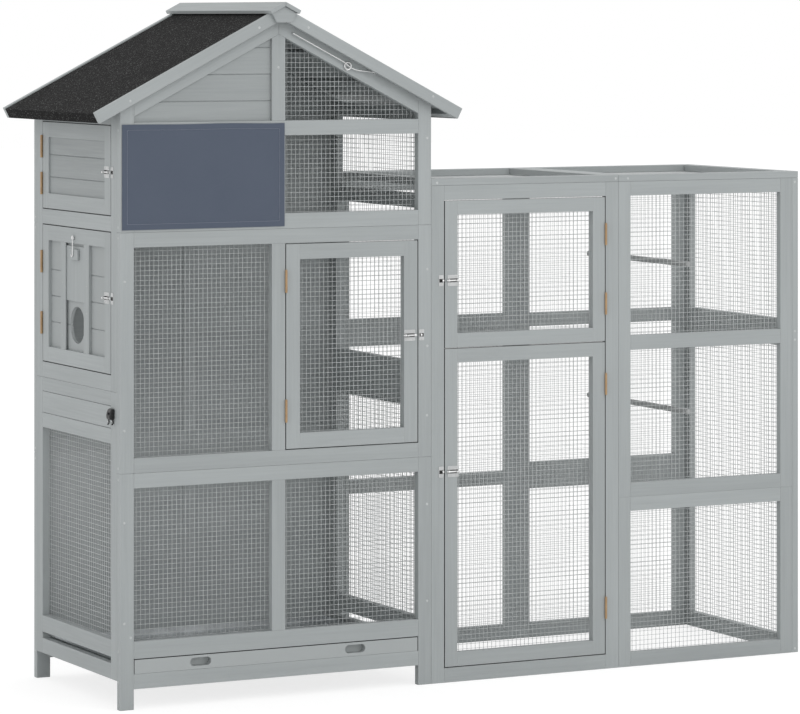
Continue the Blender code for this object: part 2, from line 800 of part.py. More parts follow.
def front_middle():
    """The middle front frame, with mesh at its left and the house's own door at its right."""
    left, right = pair_of_openings(LOWER_JOINT_Z + RAIL, UPPER_JOINT_Z - RAIL)
    door = Door("front_door", "front", right[0], right[2], DOOR_RAIL, -1, *FRONT_DOOR_RISES)
    outline = oblong((0, LOWER_JOINT_Z), (HOUSE_WIDTH, UPPER_JOINT_Z - GAP))
    joined(slab("front_frame_middle", "front", 0, TIMBER, outline, [left, right]), door.wall_fittings)
    net("mesh_front_middle", "front", TIMBER + GAP, grown(left[0], left[2], NET_LAP))
    door.hang([door.leaf("front_door_frame"), door.net("front_door_mesh")])


def gables():
    """The two gable frames: mesh, boards and the fabric cover in front, and boards at the back."""
    window_top = NEST_WINDOW_Z + WINDOW
    triangle_z = window_top + RAIL
    windows = pair_of_openings(NEST_WINDOW_Z, window_top)
    triangles = [gable_triangle(side, triangle_z) for side in (-1, 1)]
    x, z = STAY_HOLE_AT
    hole_radius, hole_depth = STAY_HOLE
    hole = cylinder("stay_hole", (x, -GAP, z), (x, hole_depth, z), hole_radius, 12)
    outline = gable_outline(UPPER_JOINT_Z)
    cut(slab("front_frame_gable", "front", 0, TIMBER, outline, windows + triangles), [hole])
    net("mesh_gable_window", "front", TIMBER + GAP, grown(windows[1][0], windows[1][2], NET_LAP))
    net("mesh_gable_triangle", "front", TIMBER + GAP, gable_triangle(1, triangle_z, NET_LAP))
    cladding = boards("gable_boards", "front", BOARD_SET_BACK, 1, (0, window_top), (MIDDLE_X, APEX_Z))
    edge = slab("gable_boards_edge", "front", 0, TIMBER, gable_triangle(-1, triangle_z, -GAP))
    crossed(cladding, [edge])
    back = slab("back_frame_gable", "front", DEPTH - TIMBER, TIMBER, outline, windows + triangles)
    low, high = (0, UPPER_JOINT_Z), (HOUSE_WIDTH, APEX_Z)
    cladding = boards("back_gable_panel", "front", DEPTH - BOARD_SET_BACK, -1, low, high)
    rim = RAIL - BOARD_TONGUE
    foot = NEST_WINDOW_Z - BOARD_TONGUE
    reach = [(rim, foot), (HOUSE_WIDTH - rim, foot)]
    reach += [(x, rafter_z(x, rim)) for x in (HOUSE_WIDTH - rim, MIDDLE_X, rim)]
    edge = slab("back_gable_edge", "front", DEPTH - TIMBER, TIMBER, reach)
    joined(back, [crossed(cladding, [edge])])
    slab("cover_sheet", "front", -COVER - GAP, COVER, oblong(*COVER_BOX), (), "cover_fabric")


def side_frame(name, inner_x, low_z, high_z, holes):
    """A frame of a side wall, between the front and back walls, with openings given as (low z, high z)."""
    outline = oblong((TIMBER + GAP, low_z), (DEPTH - TIMBER - GAP, high_z - GAP))
    openings = [oblong((SIDE_OPEN_Y[0], low), (SIDE_OPEN_Y[1], high)) for low, high in holes]
    return slab(name, "side", inner_x, TIMBER, outline, openings)


def runner(name, low_x):
    """A batten inside a side wall, which the tray slides on."""
    end = TIMBER + RUNNER_END
    return block(name, (low_x, end, TRAY_Z - RUNNER[1]), (low_x + RUNNER[0], DEPTH - end, TRAY_Z))


def left_wall():
    """The left wall below its doors: tray slot, mesh, the slot board and the turn latch's screw."""
    slot = (SIDE_SLOT_Z, SIDE_SLOT_Z + SIDE_SLOT)
    board_slot = (SLOT_BOARD_Z, SLOT_BOARD_Z + SLOT_BOARD_SLOT)
    holes = (slot, (SIDE_MESH_Z, LEFT_MESH_TOP_Z), board_slot)
    lower = side_frame("left_frame_lower", 0, SIDE_FOOT_Z, LEFT_JOINT_Z, holes)
    y, z = LATCH_AT
    head = -GAP - LATCH_THICKNESS - GAP
    pin = cylinder("latch_pin", (TIMBER / 2, y, z), (head - LATCH_HEAD[1] / 2, y, z), LATCH_PIN, 12)
    cap = cylinder("latch_head", (head, y, z), (head - LATCH_HEAD[1], y, z), LATCH_HEAD[0], 12)
    joined(lower, [runner("left_runner", TIMBER - GAP), pin, cap])
    low = (SIDE_OPEN_Y[0], SIDE_MESH_Z)
    net("mesh_left_lower", "side", TIMBER + GAP, grown(low, (SIDE_OPEN_Y[1], LEFT_MESH_TOP_Z), NET_LAP))
    board = grown((SIDE_OPEN_Y[0], board_slot[0]), (SIDE_OPEN_Y[1], board_slot[1]), -SLOT_BOARD_GAP)
    strip = slab("slot_board", "side", 0, SLOT_BOARD_DEPTH, board)
    carried("slot_board_slide", (0, (SIDE_OPEN_Y[0] + SIDE_OPEN_Y[1]) / 2, SLOT_BOARD_Z), [strip])


def turn_latch():
    """A round-headed latch on two legs, which turns on its screw to hold the slot board."""
    y, z = LATCH_AT
    width, height = LATCH_BODY
    notch_width, notch_height = LATCH_NOTCH
    foot = width / 2 - height
    legs = [
        (-width / 2, foot),
        (-notch_width / 2, foot),
        (-notch_width / 2, foot + notch_height),
        (notch_width / 2, foot + notch_height),
        (notch_width / 2, foot),
        (width / 2, foot),
    ]
    outline = arc((0, 0), width / 2, 0, 180, 10) + legs
    bore = arc((0, 0), LATCH_PIN + GAP, 0, 330, 11)
    placed = [[(y + u, z + v) for u, v in points] for points in (outline, bore)]
    near = -GAP - LATCH_THICKNESS
    body = slab("turn_latch", "side", near, LATCH_THICKNESS, placed[0], placed[1:], "black_plastic")
    carried("turn_latch_pivot", (0, y, z), [body])


def left_upper():
    """The left wall's two doors, with the pop hole and its shutter in the lower of them."""
    pop = ((SIDE_OPEN_Y[0], POP_DOOR_Z), (SIDE_OPEN_Y[1], POP_DOOR_Z + POP_DOOR_SLOT))
    nest = ((SIDE_OPEN_Y[0], NEST_DOOR_Z), (SIDE_OPEN_Y[1], NEST_DOOR_Z + NEST_DOOR_SLOT))
    middle = Door("left_middle_door", "side", *pop, DOOR_RAIL, 1, *LEFT_MIDDLE_RISES)
    upper = Door("left_upper_door", "side", *nest, DOOR_RAIL, 1, *LEFT_UPPER_RISES)
    holes = [(pop[0][1], pop[1][1]), (nest[0][1], nest[1][1])]
    wall = side_frame("left_frame_upper", 0, LEFT_JOINT_Z, WALL_TOP_Z, holes)
    joined(wall, middle.wall_fittings + upper.wall_fittings)
    upper.hang([upper.leaf("left_upper_door", [upper.panel()])])
    y, z = POP_HOLE_AT
    floor_z, roof_z = middle.window[0][1], middle.window[1][1]
    hole = cylinder("pop_hole", (-TIMBER, y, z), (2 * TIMBER, y, z), POP_HOLE, 32)
    panel = cut(middle.panel(), [hole])
    guides = [guide(side, floor_z - BOARD_TONGUE, roof_z + BOARD_TONGUE) for side in (-1, 1)]
    shutter_face = BOARD_SET_BACK - GUIDE_DEPTH + GUIDE_LIP[1] + GAP
    hook_x = shutter_face - SHUTTER_BLOCK[2] - GAP - HOOK_WIRE
    screw = hook_screw(hook_x)
    leaf = middle.leaf("left_middle_door", [panel, *guides, *screw])
    shutter = sliding_shutter(shutter_face)
    drop = carried("shutter_slide", (shutter_face, y, SHUTTER_BOTTOM_Z), [shutter])
    pivot = carried("shutter_hook_pivot", (hook_x, *HOOK_AT), [shutter_hook(hook_x)])
    middle.hang([leaf, drop, pivot])


def guide(side, low_z, high_z):
    """A rebated batten beside the shutter: its lip covers the shutter's edge."""
    lip_width, lip = GUIDE_LIP
    edge = POP_HOLE_AT[0] + side * CHANNEL / 2
    face = BOARD_SET_BACK - GUIDE_DEPTH
    back = BOARD_SET_BACK + BOARD_TONGUE / 2
    section = [
        (face, edge),
        (face, edge + side * GUIDE),
        (back, edge + side * GUIDE),
        (back, edge + side * lip_width),
        (face + lip, edge + side * lip_width),
        (face + lip, edge),
    ]
    return slab("guide", "flat", low_z, high_z - low_z, section)


def sliding_shutter(face):
    """The board that drops over the pop hole, with its finger block."""
    y = POP_HOLE_AT[0]
    half = CHANNEL / 2 + GUIDE_LIP[0] - GUIDE_CLEARANCE
    low = (y - half, SHUTTER_BOTTOM_Z)
    board = slab("shutter", "side", face, SHUTTER, oblong(low, (y + half, low[1] + SHUTTER_HEIGHT)))
    width, height, thickness = SHUTTER_BLOCK
    top = SHUTTER_BOTTOM_Z + SHUTTER_HEIGHT - SHUTTER_BLOCK_DROP
    near = (face - thickness, y - width / 2, top - height)
    grip = block("grip", near, (face + SHUTTER / 2, y + width / 2, top))
    return joined(board, [grip])


def hook_screw(hook_x):
    """The shank and the head of the screw that the shutter's hook turns on."""
    y, z = HOOK_AT
    head = hook_x - HOOK_WIRE - GAP
    shank = cylinder("hook_shank", (TIMBER / 2, y, z), (head - HOOK_HEAD[1] / 2, y, z), HOOK_HEAD[0] / 3, 10)
    cap = cylinder("hook_head", (head, y, z), (head - HOOK_HEAD[1], y, z), HOOK_HEAD[0], 12)
    return shank, cap


def shutter_hook(x):
    """A wire hook: an eye round its screw, a straight stem and a tip turned up beside it."""
    y, z = HOOK_AT
    turn_z = z - HOOK_LENGTH + HOOK_EYE
    outline = arc((y, z), HOOK_EYE, HOOK_EYE_START, 270, 12)
    outline += arc((y + HOOK_EYE, turn_z), HOOK_EYE, 180, 370, 6)
    return wire("shutter_hook", [(x, u, v) for u, v in outline], HOOK_WIRE)


def right_wall():
    """The wall between the house and the flight cage, with the birds' passage and two mesh openings."""
    inner_x = HOUSE_WIDTH - TIMBER
    slot = (SIDE_SLOT_Z, SIDE_SLOT_Z + SIDE_SLOT)
    holes = (slot, (SIDE_MESH_Z, RIGHT_MESH_TOP_Z))
    lower = side_frame("right_frame_lower", inner_x, SIDE_FOOT_Z, RIGHT_JOINT_Z, holes)
    joined(lower, [runner("right_runner", inner_x - RUNNER[0] + GAP)])
    passage = (PASSAGE_Z, PASSAGE_Z + PASSAGE)
    window = (RIGHT_WINDOW_Z, WALL_TOP_Z - RAIL + GAP)
    side_frame("right_frame_upper", inner_x, RIGHT_JOINT_Z, WALL_TOP_Z, (passage, window))
    near = inner_x - GAP - NET
    for name, (low, high) in (("mesh_right_lower", holes[1]), ("mesh_right_upper", window)):
        net(name, "side", near, grown((SIDE_OPEN_Y[0], low), (SIDE_OPEN_Y[1], high), NET_LAP))


def roof_half(side):
    """One slope of the roof: boards on battens, two bargeboards, and felt turned down at the eave."""
    title = "left" if side < 0 else "right"
    eave = ROOF_HALF_SPAN / math.cos(ROOF_SLOPE)
    top = FELT_DEPTH + FELT + GAP
    under = top + DECK
    deck_end = eave - FELT - GAP
    points = [(0, top), (deck_end, top), (deck_end, EAVE_DEPTH), (deck_end - EAVE_BATTEN, EAVE_DEPTH)]
    points += [(deck_end - EAVE_BATTEN, under)]
    for run in BATTEN_RUNS:
        low, high = run - BATTEN_WIDTH / 2, run + BATTEN_WIDTH / 2
        points += [(high, under), (high, under + BATTEN), (low, under + BATTEN), (low, under)]
    points += [(0, under)]
    deck = slab(
        f"roof_{title}_deck",
        "front",
        -BARGE_FRONT - BARGE_SEAT,
        DEPTH + 2 * (BARGE_FRONT + BARGE_SEAT),
        slope_outline(points, side, DECK_GAP),
    )
    barge = slope_outline([(0, 0), (eave, 0), (eave, BARGE_WIDTH), (0, BARGE_WIDTH)], side)
    front = slab("barge_front", "front", -BARGE_FRONT - BARGE_THICKNESS, BARGE_THICKNESS, barge)
    rear = slab("barge_rear", "front", DEPTH + BARGE_FRONT, BARGE_THICKNESS, barge)
    deck = joined(deck, [front, rear])
    felt = [(0, FELT_DEPTH), (eave, FELT_DEPTH), (eave, EAVE_DEPTH), (eave - FELT, EAVE_DEPTH)]
    felt += [(eave - FELT, FELT_DEPTH + FELT), (0, FELT_DEPTH + FELT)]
    near = -BARGE_FRONT + GAP
    section = slope_outline(felt, side)
    cover = slab(f"roof_{title}_felt", "front", near, DEPTH - 2 * near, section, (), "roof_felt")
    cap_run = CAP_HALF_WIDTH / math.cos(ROOF_SLOPE)
    cap = slope_outline([(0, -GAP - CAP), (cap_run, -GAP - CAP), (cap_run, -GAP), (0, -GAP)], side)
    board = slab(f"ridge_cap_{title}", "front", -CAP_OVERHANG, DEPTH + 2 * CAP_OVERHANG, cap)
    return deck, cover, board


def slope_outline(points, side, ridge_gap=GAP):
    """(run, depth) points of a roof half as (x, z), with run 0 on a plumb cut beside the ridge line."""
    placed = []
    for run, depth in points:
        if run == 0:
            run = ridge_gap / math.cos(ROOF_SLOPE) + depth * SLOPE
        placed.append(roof_point(run, depth, side))
    return placed


def roof():
    """The left half is fixed and carries the ridge's end blocks, and the right half swings on the ridge."""
    _, _, left_cap = roof_half(-1)
    blocks = []
    seat = -GAP - CAP / 4
    narrow = (RIDGE_BLOCK_NARROW, BARGE_APEX_Z - RIDGE_BLOCK_DROP)
    outline = [
        (MIDDLE_X - narrow[0], narrow[1]),
        (MIDDLE_X + narrow[0], narrow[1]),
        roof_point(RIDGE_BLOCK_WIDE / math.cos(ROOF_SLOPE), 0, 1),
        (MIDDLE_X - GAP, roof_point(0, 0, 1)[1]),
        roof_point(seat * SLOPE + GAP, seat, -1),
        roof_point(RIDGE_BLOCK_WIDE / math.cos(ROOF_SLOPE), seat, -1),
    ]
    room = BARGE_FRONT + BARGE_THICKNESS + GAP
    for near in (-room - RIDGE_BLOCK, DEPTH + room):
        blocks.append(slab("ridge_block", "front", near, RIDGE_BLOCK, outline))
    joined(left_cap, blocks)
    deck, felt, cap = roof_half(1)
    deck = joined(deck, [stay_lug()])
    stay = carried("roof_stay_pivot", (STAY_PIVOT[0], -STAY_FRONT, STAY_PIVOT[1]), [roof_stay()])
    carried("roof_ridge_hinge", (RIDGE_AXIS[0], DEPTH / 2, RIDGE_AXIS[1]), [deck, felt, cap, stay])
    stay_eye()


def stay_lug():
    """A thin plate under the right roof boards, which the stay's pin turns in."""
    x, z = STAY_PIVOT
    sunk = (FELT_DEPTH + FELT + DECK / 2) / math.cos(ROOF_SLOPE)
    top = BARGE_APEX_Z - (x - MIDDLE_X) * SLOPE - sunk
    radius = STAY_LUG_RADIUS
    outline = arc((x, z), radius, 180, 360, 8) + [(x + radius, top - radius * SLOPE), (x - radius, top)]
    bore = arc((x, z), STAY_PIN_BORE, 0, 330, 11)
    return slab("stay_lug", "front", STAY_LUG_NEAR, STAY_LUG, outline, [bore], "zinc_steel")


def roof_stay():
    """Bent wire: a pin at the roof end, a shallow crank, and a tip that drops into the rafter or the eye."""
    path = STAY_POINTS[1:]
    bent = [(x, -STAY_FRONT, z) for x, z in path]
    pin, tip = ((x, STAY_TIP_Y, z) for x, z in (path[0], path[-1]))
    return wire("roof_stay_rod", [pin, *bent, tip], STAY_WIRE)


def stay_eye():
    """A screw eye on the rafter, where the stay's tip rests when the roof is open."""
    x, z = STAY_EYE_AT
    y = -STAY_RING_WIRE - STAY_EYE_STANDOFF
    foot = z - STAY_RING
    eye = ring("roof_stay_eye", (x, y, z), "front", STAY_RING, STAY_RING_WIRE)
    return joined(eye, [cylinder("eye_stud", (x, y, foot), (x, -GAP, foot), STAY_RING_WIRE, 10)])


def tray():
    """The bottom tray: a timber front with two finger slots, and a sheet-metal pan behind it."""
    low, high = RAIL + TRAY_SIDE, HOUSE_WIDTH - RAIL - TRAY_SIDE
    outline = oblong((low, TRAY_Z + GAP), (high, FLOOR_Z - TRAY_HEAD))
    middle_z = (TRAY_Z + FLOOR_Z) / 2
    slots = [stadium((MIDDLE_X + side * TRAY_HANDLE_AT, middle_z), *TRAY_HANDLE) for side in (-1, 1)]
    front = slab("tray_front", "front", 0, TIMBER, outline, slots)
    start = (low, TIMBER + GAP, TRAY_Z + GAP)
    end = (high, DEPTH - TIMBER - TRAY_BACK, TRAY_Z + TRAY_PAN)
    inner_end = (end[0] - TRAY_WALL, end[1] - TRAY_WALL, end[2] + TRAY_PAN)
    inside = block("tray_hollow", [c + TRAY_WALL for c in start], inner_end)
    pan = cut(block("tray_pan", start, end, "tray_metal"), [inside])
    carried("tray_slide", (MIDDLE_X, 0, TRAY_Z), [front, pan])


def flight_front():
    """The flight cage's front: a bay with two doors, one above the other, and a bay with mesh."""
    x0, x1, x2 = RUN_X
    top = RUN_HEIGHT - RAIL
    door_x = (x0 + DOOR_STILE, x1 - BAY_STILE)
    half = DOOR_GAP / 2
    spans = (
        ("ext_lower_door", RUN_SILL, RUN_JOINT_Z + half, EXT_LOWER_RISES),
        ("ext_upper_door", RUN_JOINT_Z - half, top, EXT_UPPER_RISES),
    )
    bay = slab(
        "ext_front_bay1",
        "front",
        0,
        TIMBER,
        oblong((x0 + GAP, 0), (x1, RUN_HEIGHT)),
        [oblong((door_x[0], RUN_SILL), (door_x[1], top))],
    )
    fittings = []
    for name, low, high, rises in spans:
        door = Door(name, "front", (door_x[0], low), (door_x[1], high), RUN_DOOR_RAIL, 1, *rises)
        fittings += door.wall_fittings
        door.hang([door.leaf(f"{name}_frame"), door.net(f"{name}_mesh")])
    joined(bay, fittings)
    openings = cells(x1 + RAIL, x2 - RAIL, RUN_SILL, top, BAY_RAILS)
    outline = oblong((x1 + GAP, 0), (x2 - GAP, RUN_HEIGHT))
    slab("ext_front_bay2", "front", 0, TIMBER, outline, openings)
    mesh = grown((x1 + RAIL, RUN_SILL), (x2 - RAIL, top), NET_LAP)
    net("ext_mesh_front", "front", TIMBER + GAP, mesh, PERCH_X + PERCH_BAR)


def cells(low_x, high_x, low_z, high_z, rails):
    """The openings of a bay, between rails given as (low z, high z)."""
    edges = [low_z] + [z for rail in rails for z in rail] + [high_z]
    return [oblong((low_x, low), (high_x, high)) for low, high in zip(edges[::2], edges[1::2])]


def flight_back_and_end():
    """The flight cage's back frame and right end frame, with their mesh inside."""
    x0, x1, x2 = RUN_X
    top = RUN_HEIGHT - RAIL
    openings = cells(x0 + DOOR_STILE, x1 - BAY_STILE, BACK_SILL, top, BACK_BAY_RAILS)
    openings += cells(x1 + RAIL, x2 - RAIL, BACK_SILL, top, BACK_END_RAILS)
    back = DEPTH - TIMBER
    outline = oblong((x0 + GAP, 0), (x2 - GAP, RUN_HEIGHT))
    slab("ext_back_frame", "front", back, TIMBER, outline, openings)
    mesh = grown((x0 + DOOR_STILE, BACK_SILL), (x2 - RAIL, top), NET_LAP)
    net("ext_mesh_back", "front", back - GAP - NET, mesh, PERCH_X + PERCH_BAR)
    end = cells(SIDE_STILE, DEPTH - SIDE_STILE, BACK_SILL, top, END_RAILS)
    slab("ext_right_frame", "side", x2, RUN_END, oblong((0, 0), (DEPTH, RUN_HEIGHT)), end)
    mesh = grown((SIDE_STILE, BACK_SILL), (DEPTH - SIDE_STILE, top), NET_LAP)
    net("ext_mesh_right", "side", x2 - GAP - NET, mesh)


def flight_roof():
    """Two frames that lie on the flight cage, with one sheet of mesh under them."""
    under = RUN_HEIGHT + GAP
    halves = (("ext_roof_left", RUN_X[0] + GAP, RUN_X[1]), ("ext_roof_right", RUN_X[1] + GAP, END_X))
    for name, low, high in halves:
        hole = oblong((low + RAIL, RAIL), (high - RAIL, DEPTH - RAIL))
        slab(name, "flat", under, RUN_ROOF, oblong((low, 0), (high, DEPTH)), [hole])
    mesh = grown((RUN_X[0] + RAIL, RAIL), (END_X - RAIL, DEPTH - RAIL), NET_LAP)
    net("ext_mesh_roof", "flat", under - GAP - NET, mesh)


def perches():
    """Dowels between the front and back mesh, each end held by a screw and a washer outside it."""
    end = TIMBER + GAP + NET + GAP
    length = DEPTH - 2 * end
    washer_near = length / 2 + NET + 2 * GAP
    washer, thickness = PERCH_WASHER
    profile = [
        (0, washer_near + thickness),
        (washer, washer_near + thickness),
        (washer, washer_near),
        (PERCH_SCREW, washer_near),
        (PERCH_SCREW, length / 2),
        (PERCH_RADIUS, length / 2),
    ]
    profile += [(radius, -height) for radius, height in reversed(profile)]
    for name, z in PERCH_HEIGHTS.items():
        dowel = turned(name, profile, "bare_dowel")
        dowel.location = (PERCH_X, DEPTH / 2, z)
        dowel.rotation_euler = (math.pi / 2, 0, 0)


def place_origin():
    """Moves everything so that the origin is under the middle of the whole cage's box."""
    left = MIDDLE_X - ROOF_HALF_SPAN
    shift = Vector(((left + END_X) / 2, DEPTH / 2, 0))
    for obj in bpy.data.objects:
        if obj.parent is None:
            obj.location -= shift


front_and_back()
front_middle()
gables()
left_wall()
turn_latch()
left_upper()
right_wall()
roof()
tray()
flight_front()
flight_back_and_end()
flight_roof()
perches()
place_origin()
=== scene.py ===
"""Looks of the outdoor bird cage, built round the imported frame.

Places are written in the cage's own measures: X right from the outside of the house's left wall, Y back
from the front face, Z up from the ground, in metres. Piece.done() takes them to the frame's origin.
"""
import math
import random

import bmesh
import bpy
import numpy as np
from mathutils import Matrix, Vector


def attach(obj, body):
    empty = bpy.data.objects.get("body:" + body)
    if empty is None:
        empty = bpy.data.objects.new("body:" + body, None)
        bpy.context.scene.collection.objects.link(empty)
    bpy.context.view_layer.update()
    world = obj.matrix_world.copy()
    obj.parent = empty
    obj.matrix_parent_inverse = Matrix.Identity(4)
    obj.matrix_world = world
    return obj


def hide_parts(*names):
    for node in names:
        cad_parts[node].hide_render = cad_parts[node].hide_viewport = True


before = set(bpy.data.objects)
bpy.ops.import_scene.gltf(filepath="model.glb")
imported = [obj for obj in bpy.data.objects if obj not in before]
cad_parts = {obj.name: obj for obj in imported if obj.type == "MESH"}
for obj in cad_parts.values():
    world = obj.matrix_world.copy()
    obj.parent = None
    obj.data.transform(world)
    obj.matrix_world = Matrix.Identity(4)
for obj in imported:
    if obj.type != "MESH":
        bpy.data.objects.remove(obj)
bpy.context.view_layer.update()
random.seed(7)

TIMBER = 0.020
RAIL = 0.039
GAP = 0.0003
DOOR_GAP = 0.0018
WIDTH = 0.906
DEPTH = 0.593
SKIRT_Z = 0.053
TRAY_Z = 0.092
FLOOR_Z = 0.131
OPENING_Z = 0.176
LOWER_JOINT_Z = 0.611
UPPER_JOINT_Z = 1.2335
NEST_Z = 1.274
WINDOW = 0.205
EAVE_CORNER_Z = 1.5568
SLOPE_ANGLE = math.radians(27.2)
SLOPE, SLOPE_COS, SLOPE_SIN = math.tan(SLOPE_ANGLE), math.cos(SLOPE_ANGLE), math.sin(SLOPE_ANGLE)
MIDDLE = WIDTH / 2
STILE = (MIDDLE - RAIL / 2, MIDDLE + RAIL / 2)
SIDE_STILE = 0.0405
SIDE_Y = (TIMBER + SIDE_STILE, DEPTH - TIMBER - SIDE_STILE)

RUN_X = (WIDTH, WIDTH + 0.582, WIDTH + 1.148)
END_X = RUN_X[2] + 0.020
RUN_HEIGHT = 1.3375
RUN_TOP = RUN_HEIGHT - RAIL
RUN_ROOF = 0.0185
FELT_DEPTH = 0.0035
FELT = 0.003
DECK = 0.010
BATTEN = 0.0094
APEX_Z = EAVE_CORNER_Z + MIDDLE * SLOPE
RAFTER_DEPTH = FELT_DEPTH + FELT + DECK + BATTEN + 2 * GAP
BARGE_APEX_Z = APEX_Z + RAFTER_DEPTH / SLOPE_COS
EAVE_REACH = 0.534
EAVE_RUN = EAVE_REACH / SLOPE_COS
ORIGIN = Vector(((MIDDLE - EAVE_REACH + END_X) / 2, DEPTH / 2, 0))

EASE = 0.0009
BOARD = 0.008
BOARD_PITCH = 0.070
GROOVE = 0.0020
SET_BACK = 0.009
TONGUE = 0.003
NET = 0.0016
LAP = 0.013


# Materials


def node(tree, kind, inputs=None, **settings):
    """A shader node with its settings, and its inputs given as values or as sockets to link."""
    made = tree.nodes.new("ShaderNode" + kind)
    for key, value in settings.items():
        setattr(made, key, value)
    for key, value in (inputs or {}).items():
        socket = made.inputs[key]
        if isinstance(value, bpy.types.NodeSocket):
            tree.links.new(value, socket)
        else:
            socket.default_value = value
    return made


def blank(title, roughness, metallic=0.0, **values):
    """A new material and its tree, with the shader's numbers that are the same all over."""
    made = bpy.data.materials.new(title)
    made.use_nodes = True
    shader = made.node_tree.nodes["Principled BSDF"]
    for key, value in {"Roughness": roughness, "Metallic": metallic, **values}.items():
        shader.inputs[key.replace("_", " ")].default_value = value
    return made, made.node_tree


def shaded(made, colour, normal, roughness=None):
    """Links the inputs of a material's shader."""
    inputs = made.node_tree.nodes["Principled BSDF"].inputs
    for key, socket in (("Base Color", colour), ("Roughness", roughness), ("Normal", normal)):
        if socket is not None:
            made.node_tree.links.new(socket, inputs[key])
    return made


def position(tree):
    return node(tree, "NewGeometry").outputs["Position"]


def noise(tree, vector, scale, detail=3.0, roughness=0.55):
    inputs = {"Vector": vector, "Scale": scale, "Detail": detail, "Roughness": roughness}
    return node(tree, "TexNoise", inputs).outputs["Fac"]


def stretched(tree, vector, scale, detail, roughness=0.55, shift=(0, 0, 0)):
    """Noise with a scale of its own along each axis."""
    inputs = {"Vector": vector, "Scale": scale, "Location": shift}
    return noise(tree, node(tree, "Mapping", inputs).outputs["Vector"], 1.0, detail, roughness)


def ramp(tree, factor, stops):
    """A ramp of greys from (place, grey) stops."""
    made = node(tree, "ValToRGB", {"Fac": factor})
    elements = made.color_ramp.elements
    while len(elements) < len(stops):
        elements.new(0.5)
    for element, (place, tone) in zip(elements, stops):
        element.position = place
        element.color = (tone, tone, tone, 1)
    return made.outputs["Color"]


def math_node(tree, operation, a, b):
    return node(tree, "Math", {0: a, 1: b}, operation=operation).outputs[0]


def weighted(tree, *terms):
    """The sum of (value, weight) terms."""
    total, *rest = [math_node(tree, "MULTIPLY", value, weight) for value, weight in terms]
    for part in rest:
        total = math_node(tree, "ADD", total, part)
    return total


def mixed(tree, factor, a, b, blend="MIX"):
    return node(tree, "Mix", {0: factor, 6: a, 7: b}, data_type="RGBA", blend_type=blend).outputs[2]


def two_tone(tree, factor, low, high, dark, light):
    """From the dark colour, up to the low value of the factor, to the light one."""
    return mixed(tree, ramp(tree, factor, ((low, 0.0), (high, 1.0))), rgb(*dark), rgb(*light))


def bump(tree, height, distance, strength):
    inputs = {"Height": height, "Distance": distance, "Strength": strength}
    return node(tree, "Bump", inputs).outputs["Normal"]


def attribute(tree, title):
    return node(tree, "Attribute", attribute_name=title).outputs["Vector"]


def rgb(*colour):
    return (*colour, 1)


def painted_timber(title, light, dark, bare):
    """Planed softwood under a thin coat of paint: grain along each board, and paler eased edges."""
    made, tree = blank(title, 0.55, IOR=1.45)
    grain = attribute(tree, "grain")
    tone = stretched(tree, grain, (0.9, 2.5, 2.5), 2.0)
    streaks = stretched(tree, grain, (5, 190, 190), 4.0, 0.6)
    rings = stretched(tree, grain, (1.7, 42, 42), 3.0, 0.5, (3, 1, 2))
    fibres = stretched(tree, grain, (30, 1400, 1400), 2.0)
    coat = two_tone(tree, weighted(tree, (streaks, 0.55), (rings, 0.45)), 0.36, 0.64, dark, light)
    coat = mixed(tree, 0.6, coat, ramp(tree, tone, ((0.3, 0.88), (0.7, 1.08))), "MULTIPLY")
    # the second least distance to the board's faces is nought along its edges
    from_middle = node(tree, "VectorMath", {0: attribute(tree, "rim")}, operation="ABSOLUTE").outputs[0]
    inputs = {0: attribute(tree, "half"), 1: from_middle}
    to_face = node(tree, "VectorMath", inputs, operation="SUBTRACT").outputs[0]
    x, y, z = node(tree, "SeparateXYZ", {"Vector": to_face}).outputs
    low, high = (math_node(tree, operation, x, y) for operation in ("MINIMUM", "MAXIMUM"))
    second = math_node(tree, "MAXIMUM", low, math_node(tree, "MINIMUM", high, z))
    waver = math_node(tree, "MULTIPLY", math_node(tree, "SUBTRACT", streaks, 0.5), 0.004)
    ragged = math_node(tree, "MULTIPLY", math_node(tree, "ADD", second, waver), 400.0)
    coat = mixed(tree, ramp(tree, ragged, ((0.15, 0.32), (0.75, 0.0))), coat, rgb(*bare))
    relief = math_node(tree, "ADD", streaks, math_node(tree, "MULTIPLY", fibres, 0.4))
    dull = ramp(tree, streaks, ((0.3, 0.62), (0.7, 0.48)))
    return shaded(made, coat, bump(tree, relief, 0.00035, 0.6), dull)


def metal(title, light, dark, roughness, speck=900.0, metallic=1.0):
    made, tree = blank(title, roughness, metallic)
    place = position(tree)
    spots = noise(tree, place, speck, 2.0)
    blend = weighted(tree, (noise(tree, place, 35.0), 0.6), (spots, 0.4))
    dull = ramp(tree, blend, ((0.3, roughness + 0.08), (0.7, roughness - 0.06)))
    return shaded(made, two_tone(tree, blend, 0.38, 0.62, dark, light), bump(tree, spots, 0.0001, 0.4), dull)


def roof_felt():
    """Bitumen felt with dark and pale mineral grit."""
    made, tree = blank("felt", 0.93, Specular_IOR_Level=0.25)
    place = position(tree)
    grit = node(tree, "TexVoronoi", {"Vector": place, "Scale": 420.0}).outputs["Color"]
    tint = node(tree, "SeparateColor", {"Color": grit}).outputs[0]
    stone = ramp(tree, tint, ((0.0, 0.001), (0.74, 0.002), (0.90, 0.012), (0.97, 0.11)))
    cloud = ramp(tree, noise(tree, place, 5.0), ((0.35, 0.75), (0.65, 1.15)))
    relief = math_node(tree, "ADD", tint, noise(tree, place, 900.0))
    return shaded(made, mixed(tree, 0.7, stone, cloud, "MULTIPLY"), bump(tree, relief, 0.0009, 0.7))


